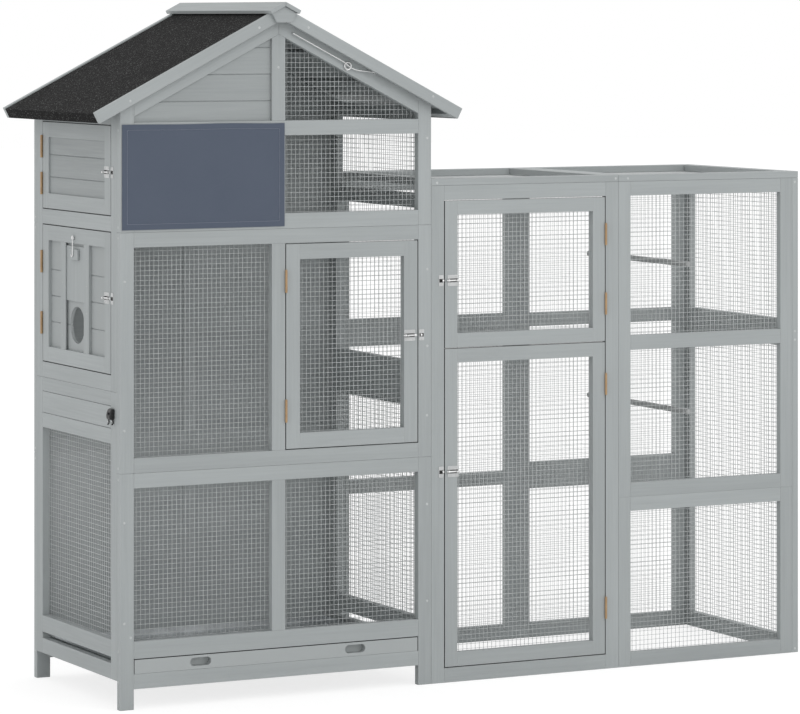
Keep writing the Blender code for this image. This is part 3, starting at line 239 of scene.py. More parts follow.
def woven(title, light, dark):
    """A plain weave of fine threads along x and z."""
    made, tree = blank(title, 0.82, Sheen_Weight=0.25, Sheen_Roughness=0.5)
    place = position(tree)
    settings = {"Vector": place, "Scale": 175.0, "Distortion": 0.4, "Detail": 1.0}
    waves = [
        node(tree, "TexWave", {**settings, "Phase Offset": phase}, bands_direction=direction).outputs["Fac"]
        for direction, phase in (("X", 0.0), ("Z", 1.57))
    ]
    weave = math_node(tree, "MULTIPLY", *waves)
    slub = stretched(tree, place, (60, 60, 900), 2.0)
    shade = weighted(tree, (weave, 0.35), (slub, 0.4), (noise(tree, place, 9.0), 0.35))
    return shaded(made, two_tone(tree, shade, 0.25, 0.75, dark, light), bump(tree, weave, 0.0003, 0.5))


def moulded(title, colour, roughness):
    made, tree = blank(title, roughness)
    stipple = noise(tree, position(tree), 1500.0, 2.0)
    paler = rgb(*[c * 1.8 + 0.004 for c in colour])
    return shaded(made, mixed(tree, stipple, rgb(*colour), paler), bump(tree, stipple, 0.00015, 0.5))


PAINT = painted_timber("paint", (0.370, 0.396, 0.399), (0.338, 0.362, 0.366), (0.43, 0.45, 0.45))
# painted shade: the same paint made darker for the set-back tongue-and-groove boards, for the shade of their
# recess
SHADED_PANEL_PAINT = painted_timber("panel_paint", (0.330, 0.353, 0.356), (0.298, 0.320, 0.323), (0.38, 0.40, 0.40))
DOWEL = painted_timber("dowel", (0.34, 0.355, 0.355), (0.29, 0.30, 0.30), (0.40, 0.40, 0.39))
FELT_LOOK = roof_felt()
WIRE = metal("galvanised_wire", (0.58, 0.60, 0.60), (0.48, 0.50, 0.50), 0.5, metallic=0.15)
ZINC = metal("zinc", (0.86, 0.86, 0.86), (0.72, 0.72, 0.72), 0.30)
# painted shade: zinc made darker and less metallic for the flat bolt plates, for the grey that a flat plate
# reflects
SHADED_BOLT_PLATE = metal("bolt_plate", (0.62, 0.63, 0.63), (0.50, 0.51, 0.51), 0.45, metallic=0.5)
SCREW = metal("screw", (0.54, 0.56, 0.56), (0.45, 0.47, 0.47), 0.5, metallic=0.3)
DULL = metal("dull_zinc", (0.40, 0.41, 0.41), (0.30, 0.31, 0.31), 0.5, metallic=0.6)
BRONZE = metal("hinge_barrel", (0.46, 0.30, 0.16), (0.36, 0.23, 0.12), 0.5, metallic=0.2)
TRAY = metal("tray_sheet", (0.58, 0.60, 0.61), (0.46, 0.48, 0.49), 0.36, 250.0)
FABRIC = woven("cover_cloth", (0.080, 0.099, 0.139), (0.063, 0.081, 0.118))
THREAD = moulded("thread", (0.21, 0.23, 0.28), 0.7)
BLACK = moulded("black_moulding", (0.004, 0.004, 0.0045), 0.38)
# painted shade: near-black strips put in the door and tray gaps, where there is only shade
GAP_PAINTED_SHADE = moulded("gap_shade", (0.012, 0.013, 0.013), 0.9)
SLOT_PAINTED_SHADE = moulded("slot_shade", (0.012, 0.012, 0.012), 0.9)
SLOTS = {
    **dict.fromkeys(("paint", "panel_paint", "screw", "gap_shade"), "painted_timber"),
    **dict.fromkeys(("zinc", "bolt_plate", "dull_zinc", "slot_shade", "hinge_barrel"), "zinc_steel"),
    **dict.fromkeys(("cover_cloth", "thread"), "cover_fabric"),
    "dowel": "bare_dowel", "galvanised_wire": "wire_mesh", "black_moulding": "black_plastic",
}


# Meshes


def linked(obj):
    bpy.context.scene.collection.objects.link(obj)
    return obj


class Piece:
    """One visible piece, gathered from several small shapes, which rides on one body."""

    def __init__(self, name, body, look, replaced=()):
        self.name, self.body, self.look, self.replaced = name, body, look, replaced
        self.points, self.faces = [], []
        self.fields = {"grain": [], "rim": [], "half": []}

    def bars(self, plane, near, thickness, *corners, **settings):
        """Adds a board for each (u0, v0, u1, v1) rectangle."""
        for each in corners:
            board(self, plane, near, thickness, rect(*each), **settings)

    def add(self, shape, fields=None):
        """Takes over a bmesh, with the board fields of each of its vertices."""
        start = len(self.points)
        shape.verts.index_update()
        self.points += [tuple(v.co) for v in shape.verts]
        self.faces += [[start + v.index for v in face.verts] for face in shape.faces]
        for title, kept in self.fields.items():
            kept += fields[title] if fields else [(0, 0, 0)] * len(shape.verts)
        shape.free()

    def done(self, smooth=None):
        mesh = bpy.data.meshes.new(self.name)
        mesh.from_pydata([tuple(Vector(p) - ORIGIN) for p in self.points], [], self.faces)
        if any(any(value) for value in self.fields["half"]):
            for title, values in self.fields.items():
                layer = mesh.attributes.new(title, "FLOAT_VECTOR", "POINT")
                layer.data.foreach_set("vector", np.array(values, np.float32).ravel())
        mesh.materials.append(self.look)
        if smooth:
            mesh.shade_smooth()
            mesh.set_sharp_from_angle(angle=math.radians(smooth))
        obj = linked(bpy.data.objects.new(self.name, mesh))
        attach(obj, self.body)
        if self.replaced:
            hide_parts(*self.replaced)
        return obj


def space(plane, u, v, w):
    """A point at (u, v) in a plane and w across it: front (x, z), side (y, z) or flat (x, y)."""
    return {"front": (u, w, v), "side": (w, u, v), "flat": (u, v, w)}[plane]


def eased(shape, ease):
    """The bmesh with its normals outward and its edges eased by a small chamfer."""
    bmesh.ops.recalc_face_normals(shape, faces=shape.faces)
    if ease:
        settings = {"segments": 1, "affect": "EDGES", "clamp_overlap": True}
        bmesh.ops.bevel(shape, geom=shape.edges[:], offset=ease, **settings)
    return shape


def spanned(low, high, ease):
    """A bmesh from one ring of points to another like it."""
    shape = bmesh.new()
    low, high = [[shape.verts.new(point) for point in ring] for ring in (low, high)]
    shape.faces.new(low)
    shape.faces.new(high[::-1])
    for i in range(len(low)):
        j = (i + 1) % len(low)
        shape.faces.new((low[i], high[i], high[j], low[j]))
    return eased(shape, ease)


def prism(plane, near, thickness, outline, ease=EASE):
    """A bmesh with this flat outline and thickness."""
    return spanned(*[[space(plane, u, v, w) for u, v in outline] for w in (near, near + thickness)], ease)


def board_fields(shape, along):
    """Grain, rim and half of a board, on its own axes: along it, across it and through it."""
    along = Vector(along).normalized()
    across = Vector((0, 0, 1)).cross(along)
    if across.length < 0.1:
        across = Vector((1, 0, 0))
    across.normalize()
    axes = Matrix((along, across, along.cross(across)))
    local = [axes @ v.co for v in shape.verts]
    low = Vector([min(p[i] for p in local) for i in range(3)])
    high = Vector([max(p[i] for p in local) for i in range(3)])
    middle, half = (low + high) / 2, (high - low) / 2
    start = Vector([random.uniform(0, 60) for _ in range(3)])
    return {
        "grain": [tuple(p - middle + start) for p in local],
        "rim": [tuple(p - middle) for p in local],
        "half": [tuple(half)] * len(local),
    }


def board(piece, plane, near, thickness, outline, along=None, ease=EASE):
    """Adds a board, whose grain runs along its longest side if nothing else is said."""
    shape = prism(plane, near, thickness, outline, ease)
    if along is None:
        us, vs = zip(*outline)
        sizes = (max(us) - min(us), max(vs) - min(vs), thickness)
        turns = (space(plane, 1, 0, 0), space(plane, 0, 1, 0), space(plane, 0, 0, 1))
        along = turns[sizes.index(max(sizes))]
    piece.add(shape, board_fields(shape, along))


def trim(shape, point, keep):
    """Cuts a closed convex shape by a plane and closes it again."""
    geometry = shape.verts[:] + shape.edges[:] + shape.faces[:]
    plane = {"plane_co": point, "plane_no": -Vector(keep)}
    cut = bmesh.ops.bisect_plane(shape, geom=geometry, clear_outer=True, dist=1e-7, **plane)
    rim = [e for e in cut["geom_cut"] if isinstance(e, bmesh.types.BMEdge) and e.is_valid]
    if rim:
        bmesh.ops.contextual_create(shape, geom=rim)


def rect(u0, v0, u1, v1):
    return [(u0, v0), (u1, v0), (u1, v1), (u0, v1)]


def grid_frame(piece, plane, near, v, columns):
    """A frame of full-height stiles with rails between them.

    columns is [(stile from, stile to), [(rail from, rail to), ...], (stile from, stile to), ...].
    """
    for i, part in enumerate(columns):
        if i % 2 == 0:
            piece.bars(plane, near, TIMBER, (part[0], v[0], part[1], v[1]))
        else:
            left, right = columns[i - 1][1], columns[i + 1][0]
            piece.bars(plane, near, TIMBER, *[(left, low, right, high) for low, high in part])


def tongued(piece, plane, face, inward, low, high, cuts=(), top_board=BOARD_PITCH, pitch=BOARD_PITCH):
    """Horizontal tongue-and-groove boards with V joints on their face side, between two corners.

    cuts are (point, direction to keep) planes in the cage's measures.
    """
    count = math.floor((high[1] - top_board - low[1]) / pitch)
    levels = [high[1]] + [high[1] - top_board - i * pitch for i in range(count + 1)]
    if levels[-1] - GROOVE > low[1]:
        levels.append(low[1])
    else:
        levels[-1] = low[1]
    back, seam = face + inward * BOARD, 0.0001
    across, along = ("side", (1, 0, 0)) if plane == "front" else ("front", (0, 1, 0))
    for top, foot in zip(levels, levels[1:]):
        upper = 0 if top == levels[0] else GROOVE
        lower = 0 if foot == levels[-1] else GROOVE
        section = [
            (back, foot + seam), (back, top - seam), (face + inward * upper, top - seam),
            (face, top - upper), (face, foot + lower), (face + inward * lower, foot + seam),
        ]
        section = [p for i, p in enumerate(section) if p != section[i - 1]]
        shape = prism(across, low[0], high[0] - low[0], section, 0.0002)
        for point, keep in cuts:
            trim(shape, point, keep)
        if len(shape.faces) > 3:
            piece.add(shape, board_fields(shape, along))


def basis(direction):
    """Two unit vectors square to a direction and to each other."""
    direction = Vector(direction).normalized()
    other = Vector((0, 0, 1)) if abs(direction.z) < 0.9 else Vector((1, 0, 0))
    first = direction.cross(other).normalized()
    return first, direction.cross(first)


def ring(shape, middle, first, second, radius, sides):
    """New vertices round a circle spanned by two unit vectors."""
    turns = [2 * math.pi * i / sides for i in range(sides)]
    return [shape.verts.new(middle + (first * math.cos(t) + second * math.sin(t)) * radius) for t in turns]


def turned(origin, axis, profile, sides):
    """A bmesh turned about an axis: profile is (distance along the axis, radius) and closes on the axis."""
    origin, axis = Vector(origin), Vector(axis).normalized()
    across = basis(axis)
    shape = bmesh.new()
    rings = []
    for along, radius in profile:
        middle = origin + axis * along
        rings.append(ring(shape, middle, *across, radius, sides) if radius else [shape.verts.new(middle)])
    for low, high in zip(rings, rings[1:]):
        for i in range(sides):
            j = (i + 1) % sides
            corners = [low[i % len(low)], low[j % len(low)], high[j % len(high)], high[i % len(high)]]
            shape.faces.new(list(dict.fromkeys(corners)))
    return eased(shape, 0)


def lathe(piece, origin, axis, profile, sides=16):
    piece.add(turned(origin, axis, profile, sides))


def rod_profile(length, radius, ease=0.0003):
    """The outline of a round bar with eased ends."""
    ease = min(ease, radius / 2)
    near, far = [(0, radius - ease), (ease, radius)], [(length - ease, radius), (length, radius - ease)]
    return [(0, 0), *near, *far, (length, 0)]


def rod(piece, start, end, radius, sides=12, ease=0.0003):
    reach = Vector(end) - Vector(start)
    lathe(piece, start, reach, rod_profile(reach.length, radius, ease), sides)


def sweep(piece, path, radius, closed=False):
    """A round wire along a path of points."""
    sides = 12
    path = [Vector(p) for p in path]
    shape = bmesh.new()
    count = len(path)
    rings, side = [], None
    for i, point in enumerate(path):
        before = path[i - 1] if i or closed else point
        after = path[(i + 1) % count] if i < count - 1 or closed else point
        heading = (after - before).normalized()
        if side is None:
            side = basis(heading)[0]
        side = (side - heading * side.dot(heading)).normalized()
        rings.append(ring(shape, point, side, heading.cross(side), radius, sides))
    for low, high in list(zip(rings, rings[1:])) + ([(rings[-1], rings[0])] if closed else []):
        for k in range(sides):
            m = (k + 1) % sides
            shape.faces.new((low[k], low[m], high[m], high[k]))
    if not closed:
        shape.faces.new(rings[0][::-1])
        shape.faces.new(rings[-1])
    piece.add(eased(shape, 0))


def rounded(points, radius):
    """A path whose inner corners are turned on a radius."""
    steps = 5
    points = [Vector(p) for p in points]
    path = [points[0]]
    for before, corner, after in zip(points, points[1:], points[2:]):
        reach = min(radius, (before - corner).length * 0.45, (after - corner).length * 0.45)
        start = corner + (before - corner).normalized() * reach
        end = corner + (after - corner).normalized() * reach
        for i in range(steps + 1):
            t = i / steps
            path.append(start * (1 - t) ** 2 + corner * 2 * t * (1 - t) + end * t * t)
    return path + [points[-1]]


def arc(centre, radius, start, end, steps):
    turns = [math.radians(start + (end - start) * i / steps) for i in range(steps + 1)]
    return [(centre[0] + radius * math.cos(t), centre[1] + radius * math.sin(t)) for t in turns]


def rafter_z(x, drop=0.0):
    return APEX_Z - abs(x - MIDDLE) * SLOPE - drop / SLOPE_COS


# Screws

SCREW_HEAD = (
    (-0.001, 0), (-0.001, 0.9), (0.0001, 1), (0.0005, 0.86),
    (0.0007, 0.5), (0.0004, 0.42), (0.00015, 0.18), (0.0001, 0),
)


def screw_head(piece, at, outward, radius=0.0036):
    """A countersunk cross-head screw, a little proud of the timber."""
    lathe(piece, at, outward, [(along, radius * share) for along, share in SCREW_HEAD], 12)


def screws(name, body, places, outward, radius=0.0036):
    piece = Piece(name, body, SCREW)
    for at in places:
        screw_head(piece, at, outward, radius)
    return piece.done(40)


# Hinges and slide bolts

KNUCKLE = 0.0032
PROUD = KNUCKLE + GAP


class Axes:
    """A fitting's own axes on a wall: along it toward the door or frame, out from it, and up."""

    def __init__(self, at, along, outward):
        self.at, self.along, self.outward = Vector(at), Vector(along), Vector(outward)
        self.up = self.along.cross(self.outward)

    def point(self, along, out, up=0.0):
        return self.at + self.along * along + self.outward * out + self.up * up

    def block(self, piece, low, high, ease):
        """Adds a block between two (along, out, up) corners."""
        shape = bmesh.new()
        bmesh.ops.create_cube(shape, size=1.0)
        for v in shape.verts:
            t = [c + 0.5 for c in v.co]
            v.co = self.point(*[a + (b - a) * k for a, b, k in zip(low, high, t)])
        piece.add(eased(shape, ease))

    def slab(self, piece, plane, low, high, outline, ease=0.0002):
        """Adds an (along, up) outline from low to high out; in the side plane (out, up), along."""
        rings = [[self.point(*space(plane, u, v, w)) for u, v in outline] for w in (low, high)]
        piece.add(spanned(*rings, ease))


def hinge(leaves, at, toward_door, outward):
    """A butt hinge: the door's leaf has the outer knuckles, the wall's the middle one and the pin."""
    axes = Axes(at, toward_door, outward)
    half, third, depth, sheet, ease = 0.030, 0.010, 0.016, 0.0006, 0.00008
    spans = (((-half, -third - GAP), (third + GAP, half)), ((-third, third),))
    for piece, side, knuckles in zip(leaves, (1, -1), spans):
        near, far = sorted((side * (DOOR_GAP / 2 - sheet), side * DOOR_GAP / 2))
        for low, high in knuckles:
            rod(piece, axes.point(0, 0, low), axes.point(0, 0, high), KNUCKLE, 20, 0.0004)
            axes.block(piece, (near, -PROUD - GAP, low), (far, -sheet, high), ease)
        axes.block(piece, (near, -PROUD - depth, -half), (far, -PROUD, half), ease)
    tip = [(0, 0), (0, 0.0014), (0.0004, 0.0018), (0.0007, 0.0012), (0.0008, 0)]
    for side in (-1, 1):
        lathe(leaves[1], axes.point(0, 0, side * (half - 0.0001)), axes.up * side, tip, 12)


BOLT_RADIUS = 0.0024
STRAP_RADIUS = BOLT_RADIUS + GAP
STRAP_WIDTH = 0.0045
KNOB = [(0, 0), (0, 0.0018), (0.0045, 0.0018), (0.0050, 0.0026), (0.0070, 0.0028), (0.0079, 0.0018)]
KNOB.append((0.0080, 0))


def strap(piece, axes, start, level):
    """A pressed band bent over the bolt, on two feet; level is the height of the bolt's middle."""
    foot, thickness = 0.0065, 0.001
    inner, outer = STRAP_RADIUS, STRAP_RADIUS + thickness
    outline = [(0, -foot), (thickness, -foot), (thickness, -outer), *arc((level, 0), outer, -90, 90, 9)]
    outline += [(thickness, outer), (thickness, foot), (0, foot), (0, inner)]
    outline += [*arc((level, 0), inner, 90, -90, 9), (0, -inner)]
    axes.slab(piece, "side", start, start + STRAP_WIDTH, outline, 0)


def rounded_plate(u0, v0, u1, v1):
    radius = 0.003
    points = []
    for centre, start in (
        ((u1 - radius, v0 + radius), -90), ((u1 - radius, v1 - radius), 0),
        ((u0 + radius, v1 - radius), 90), ((u0 + radius, v0 + radius), 180),
    ):
        points += arc(centre, radius, start, start + 90, 4)
    return points


def slide_bolt(plates, straps, painted_shades, bolt, at, toward_frame, outward):
    """A slide bolt: a plate and two straps on the door, the keeper on the wall, and the bolt with its knob.

    plates, straps and painted_shades are each a pair: door's and wall's. painted_shades are near-black
    patches on the plates behind the bolt: painted shade standing for the slots punched there and the shade
    under the bolt.
    """
    axes = Axes(at, toward_frame, outward)
    plate, half_height, end, length, reach = 0.0012, 0.015, -0.008, 0.033, 0.0035
    rim, slot, skin = 0.0015, 0.0048, 0.0001
    start = end - length
    level = plate + GAP + BOLT_RADIUS
    keeper = DOOR_GAP + 0.002
    for piece, shade, (low, high) in zip(plates, painted_shades, ((start, end), (keeper, keeper + 0.015))):
        axes.slab(piece, "front", 0, plate, rounded_plate(low, -half_height, high, half_height))
        # painted shade: a near-black patch on the plate behind the bolt, for the punched slot and the shade
        # under the bolt
        axes.block(shade, (low + rim, plate - skin, -slot), (high - rim, plate + skin, slot), 0)
    for low in (start + GAP, end - GAP - STRAP_WIDTH):
        strap(straps[0], axes, low, level)
    strap(straps[1], axes, keeper + 0.002, level)
    for piece, alongs in zip(plates, ((start + 0.006, end - 0.006), (keeper + 0.0075,))):
        for along in alongs:
            for up in (-0.0108, 0.0108):
                screw_head(piece, axes.point(along, plate, up), outward, 0.0026)
    rod(bolt, axes.point(start - reach, level), axes.point(end + reach, level), BOLT_RADIUS, 16, 0.0007)
    knob = start + STRAP_WIDTH + 3 * GAP + 0.0028
    lathe(bolt, axes.point(knob, level), outward, KNOB)


# Welded mesh

PITCH = 0.0127
WIRE_RADIUS = 0.00062
UPRIGHTS, LEVELS = 0.00058, 0.00102  # depths of the two layers of wires


def clip(a, b, outline):
    """The part of the segment a-b inside a convex outline, as two points, or None."""
    turn = sum(p[0] * q[1] - q[0] * p[1] for p, q in zip(outline, outline[1:] + outline[:1]))
    points = outline if turn > 0 else outline[::-1]
    start, end = 0.0, 1.0
    for p, q in zip(points, points[1:] + points[:1]):
        normal = (-(q[1] - p[1]), q[0] - p[0])
        da = (a[0] - p[0]) * normal[0] + (a[1] - p[1]) * normal[1]
        db = (b[0] - p[0]) * normal[0] + (b[1] - p[1]) * normal[1]
        if da < 0 and db < 0:
            return None
        if (da < 0) != (db < 0):
            t = da / (da - db)
            start, end = (max(start, t), end) if da < 0 else (start, min(end, t))
    if end - start < 1e-3:
        return None
    return [tuple(a[i] + (b[i] - a[i]) * t for i in (0, 1)) for t in (start, end)]


def mesh_sheet(name, body, plane, near, outline, replaced):
    """Half-inch welded mesh: upright wires on the near side, level wires welded behind them."""
    piece = Piece(name, body, WIRE, replaced)
    (u0, u1), (v0, v1) = ((min(values), max(values)) for values in zip(*outline))
    rim = 0.0008
    for upright, low, high, depth in ((True, u0, u1, UPRIGHTS), (False, v0, v1, LEVELS)):
        count = round((high - low) / PITCH)
        spare = (high - low - count * PITCH) / 2 + 0.001
        for i in range(count + 1):
            at = min(max(low + spare + i * PITCH, low + rim), high - rim)
            kept = clip(*(((at, v0), (at, v1)) if upright else ((u0, at), (u1, at))), outline)
            if kept:
                rod(piece, *[space(plane, u, v, near + depth) for u, v in kept], WIRE_RADIUS, 6, 0.0001)
    return piece.done(60)


def net(name, body, plane, near, low, high, replaced):
    """Mesh over an opening, lapped onto the timber round it."""
    outline = rect(low[0] - LAP, low[1] - LAP, high[0] + LAP, high[1] + LAP)
    mesh_sheet(name, body, plane, near, outline, [replaced])


# The house's front and back

INNER = TIMBER + GAP
BACK = DEPTH - TIMBER
COLUMNS = ((0, RAIL), (WIDTH - RAIL, WIDTH))


def wall_frame(title, near, span, rails, stile):
    """Two columns over a span of heights, rails between them, and a centre stile."""
    piece = Piece(title + "_boards", "cage", PAINT, [title])
    piece.bars("front", near, TIMBER, *[(low, span[0], high, span[1]) for low, high in COLUMNS])
    piece.bars("front", near, TIMBER, *[(RAIL, low, WIDTH - RAIL, high) for low, high in rails])
    piece.bars("front", near, TIMBER, (STILE[0], stile[0], STILE[1], stile[1]))
    return piece


def lower_frame(title, near, *low_rails):
    top = LOWER_JOINT_Z - RAIL
    rails = ((top, LOWER_JOINT_Z - GAP), *low_rails)
    return wall_frame(title, near, (0, LOWER_JOINT_Z - GAP), rails, (OPENING_Z, top))


def middle_frame(title, near):
    foot, top = LOWER_JOINT_Z + RAIL, UPPER_JOINT_Z - RAIL
    rails = ((LOWER_JOINT_Z, foot), (top, UPPER_JOINT_Z - GAP))
    return wall_frame(title, near, (LOWER_JOINT_Z, UPPER_JOINT_Z - GAP), rails, (foot, top))


def gable_frame(title, near):
    piece = Piece(title + "_boards", "cage", PAINT, [title])
    cross = NEST_Z + WINDOW
    for side, outer, inner in ((-1, 0, RAIL), (1, WIDTH, WIDTH - RAIL)):
        post = [(outer, UPPER_JOINT_Z), (inner, UPPER_JOINT_Z)] + [(x, rafter_z(x)) for x in (inner, outer)]
        board(piece, "front", near, TIMBER, post, (0, 0, 1))
        rafter = [(inner, rafter_z(inner, RAIL)), (inner, rafter_z(inner))]
        rafter += [(MIDDLE, APEX_Z), (MIDDLE, rafter_z(MIDDLE, RAIL))]
        board(piece, "front", near, TIMBER, rafter, (1, 0, -side * SLOPE))
    rails = (RAIL, UPPER_JOINT_Z, WIDTH - RAIL, NEST_Z), (RAIL, cross, WIDTH - RAIL, cross + RAIL)
    piece.bars("front", near, TIMBER, *rails, (STILE[0], NEST_Z, STILE[1], cross))
    peak = [(STILE[0], cross + RAIL), (STILE[1], cross + RAIL)]
    peak += [(x, rafter_z(x, RAIL)) for x in (STILE[1], MIDDLE, STILE[0])]
    board(piece, "front", near, TIMBER, peak, (0, 0, 1))
    return piece


def slope_cuts(drop, sides=(-1, 1)):
    """Planes that keep what lies under the rafters' lower edges."""
    return [((MIDDLE, 0, rafter_z(MIDDLE, drop)), (-side * SLOPE, 0, -1)) for side in sides]


def house_front():
    lower_frame("front_frame_lower", 0, (SKIRT_Z, TRAY_Z), (FLOOR_Z, OPENING_Z)).done()
    middle_frame("front_frame_middle", 0).done()
    gable_frame("front_frame_gable", 0).done()
    cross = NEST_Z + WINDOW + RAIL
    boards = Piece("gable_cladding", "cage", SHADED_PANEL_PAINT, ["gable_boards"])
    cuts = slope_cuts(RAIL, (-1,)) + [((RAIL + GAP, 0, 0), (1, 0, 0)), ((STILE[0] - GAP, 0, 0), (-1, 0, 0))]
    cuts.append(((0, 0, cross + GAP), (0, 0, 1)))
    tongued(boards, "front", SET_BACK, 1, (0, cross - RAIL), (MIDDLE, APEX_Z), cuts, 0.079)
    boards.done()
    for name, low, high in (
        ("front_lower", (RAIL, OPENING_Z), (WIDTH - RAIL, LOWER_JOINT_Z - RAIL)),
        ("front_middle", (RAIL, LOWER_JOINT_Z + RAIL), (STILE[0], UPPER_JOINT_Z - RAIL)),
        ("gable_window", (STILE[1], NEST_Z), (WIDTH - RAIL, NEST_Z + WINDOW)),
    ):
        net("wire_" + name, "cage", "front", INNER, low, high, "mesh_" + name)
    inner, outer, foot = STILE[1] - LAP, WIDTH - RAIL + LAP, cross - LAP
    outline = [(inner, foot), (outer, foot)] + [(x, rafter_z(x, RAIL - LAP)) for x in (outer, inner)]
    mesh_sheet("wire_gable_triangle", "cage", "front", INNER, outline, ["mesh_gable_triangle"])


def boarded(piece, low, high, cuts=()):
    """Closes a frame of the back wall with boards whose tongues run into it, between two heights."""
    sides = RAIL - TONGUE, WIDTH - RAIL + TONGUE
    tongued(piece, "front", DEPTH - SET_BACK, -1, (sides[0], low), (sides[1], high), cuts)
    piece.done()


def house_back():
    lower = lower_frame("back_frame_lower", BACK, (SKIRT_Z, OPENING_Z))
    boarded(lower, OPENING_Z - TONGUE, LOWER_JOINT_Z - RAIL + TONGUE)
    middle = middle_frame("back_frame_middle", BACK)
    boarded(middle, LOWER_JOINT_Z + RAIL - TONGUE, UPPER_JOINT_Z - RAIL + TONGUE)
    gable = gable_frame("back_frame_gable", BACK)
    boarded(gable, NEST_Z - TONGUE, APEX_Z, slope_cuts(RAIL - TONGUE))


# Side walls

LEFT_OPENINGS = (0.176, 0.684)
UPPER_DOOR = (1.274, 1.511)
MIDDLE_DOOR = (0.8617, 1.2337)
RIGHT_OPENINGS = (("lower", 0.176, 0.740), ("upper", 1.316, 1.5128))
SIDE_TOP_Z = 1.5512


def side_wall(title, near, rails, runner=None):
    """A side frame between the front and back walls: stiles, (low z, high z) rails and a tray runner."""
    piece = Piece(title + "_boards", "cage", PAINT, [title])
    foot, top = rails[0][0], rails[-1][1]
    piece.bars("side", near, TIMBER, (INNER, foot, SIDE_Y[0], top), (SIDE_Y[1], foot, DEPTH - INNER, top))
    piece.bars("side", near, TIMBER, *[(SIDE_Y[0], low, SIDE_Y[1], high) for low, high in rails])
    if runner:
        clear, thick = TIMBER + 0.002, 0.016
        piece.bars("flat", TRAY_Z - thick, thick, (runner[0], clear, runner[1], DEPTH - clear))
    piece.done()


def side_walls():
    low = [(0.074, 0.1145), (0.1315, LEFT_OPENINGS[0])]
    inner, wide = WIDTH - TIMBER, 0.030
    left = [*low, (LEFT_OPENINGS[1], 0.7236), (0.7824, 0.8197)]
    side_wall("left_frame_lower", 0, left, (TIMBER, TIMBER + wide))
    left = [(0.820, MIDDLE_DOOR[0]), (MIDDLE_DOOR[1], UPPER_DOOR[0]), (UPPER_DOOR[1], SIDE_TOP_Z)]
    side_wall("left_frame_upper", 0, left)
    side_wall("right_frame_lower", inner, [*low, (0.740, 0.7817)], (inner - wide, inner))
    side_wall("right_frame_upper", inner, [(0.782, 0.862), (1.277, 1.316), (1.5128, SIDE_TOP_Z)])
    low, high = zip(SIDE_Y, LEFT_OPENINGS)
    net("wire_left_lower", "cage", "side", INNER, low, high, "mesh_left_lower")
    for part, foot, top in RIGHT_OPENINGS:
        low, high = (SIDE_Y[0], foot), (SIDE_Y[1], top)
        net("wire_right_" + part, "cage", "side", inner - GAP - NET, low, high, "mesh_right_" + part)
    strip = Piece("slot_board_strip", "slot_board", PAINT, ["slot_board"])
    strip.bars("side", 0, TIMBER, (SIDE_Y[0] + 0.001, 0.7246, SIDE_Y[1] - 0.001, 0.7814))
    strip.done()


# Doors

WALL = {"front": ((1, 0, 0), (0, -1, 0)), "side": ((0, 1, 0), (-1, 0, 0))}


def on_wall(plane, u, v, out=0.0):
    return (u, -out, v) if plane == "front" else (-out, u, v)


SEAM = 0.0006
RIM = 0.00015
DOOR_RAIL = 0.041
DOOR_EASE = 0.0005


def painted_shade_strips(piece, plane, low, high, line):
    """Painted shade in a door's gap: thin near-black strips round a rectangle, standing for the shade inside
    the gap, where the timber itself is grey.
    """
    near, depth = 0.0006, 0.0045
    (u0, v0), (u1, v1) = low, high
    for outline in (
        rect(u0 - line, v0, u0, v1), rect(u1, v0, u1 + line, v1),
        rect(u0, v0 - line, u1, v0), rect(u0, v1, u1, v1 + line),
    ):
        piece.add(prism(plane, near, depth, outline, 0))


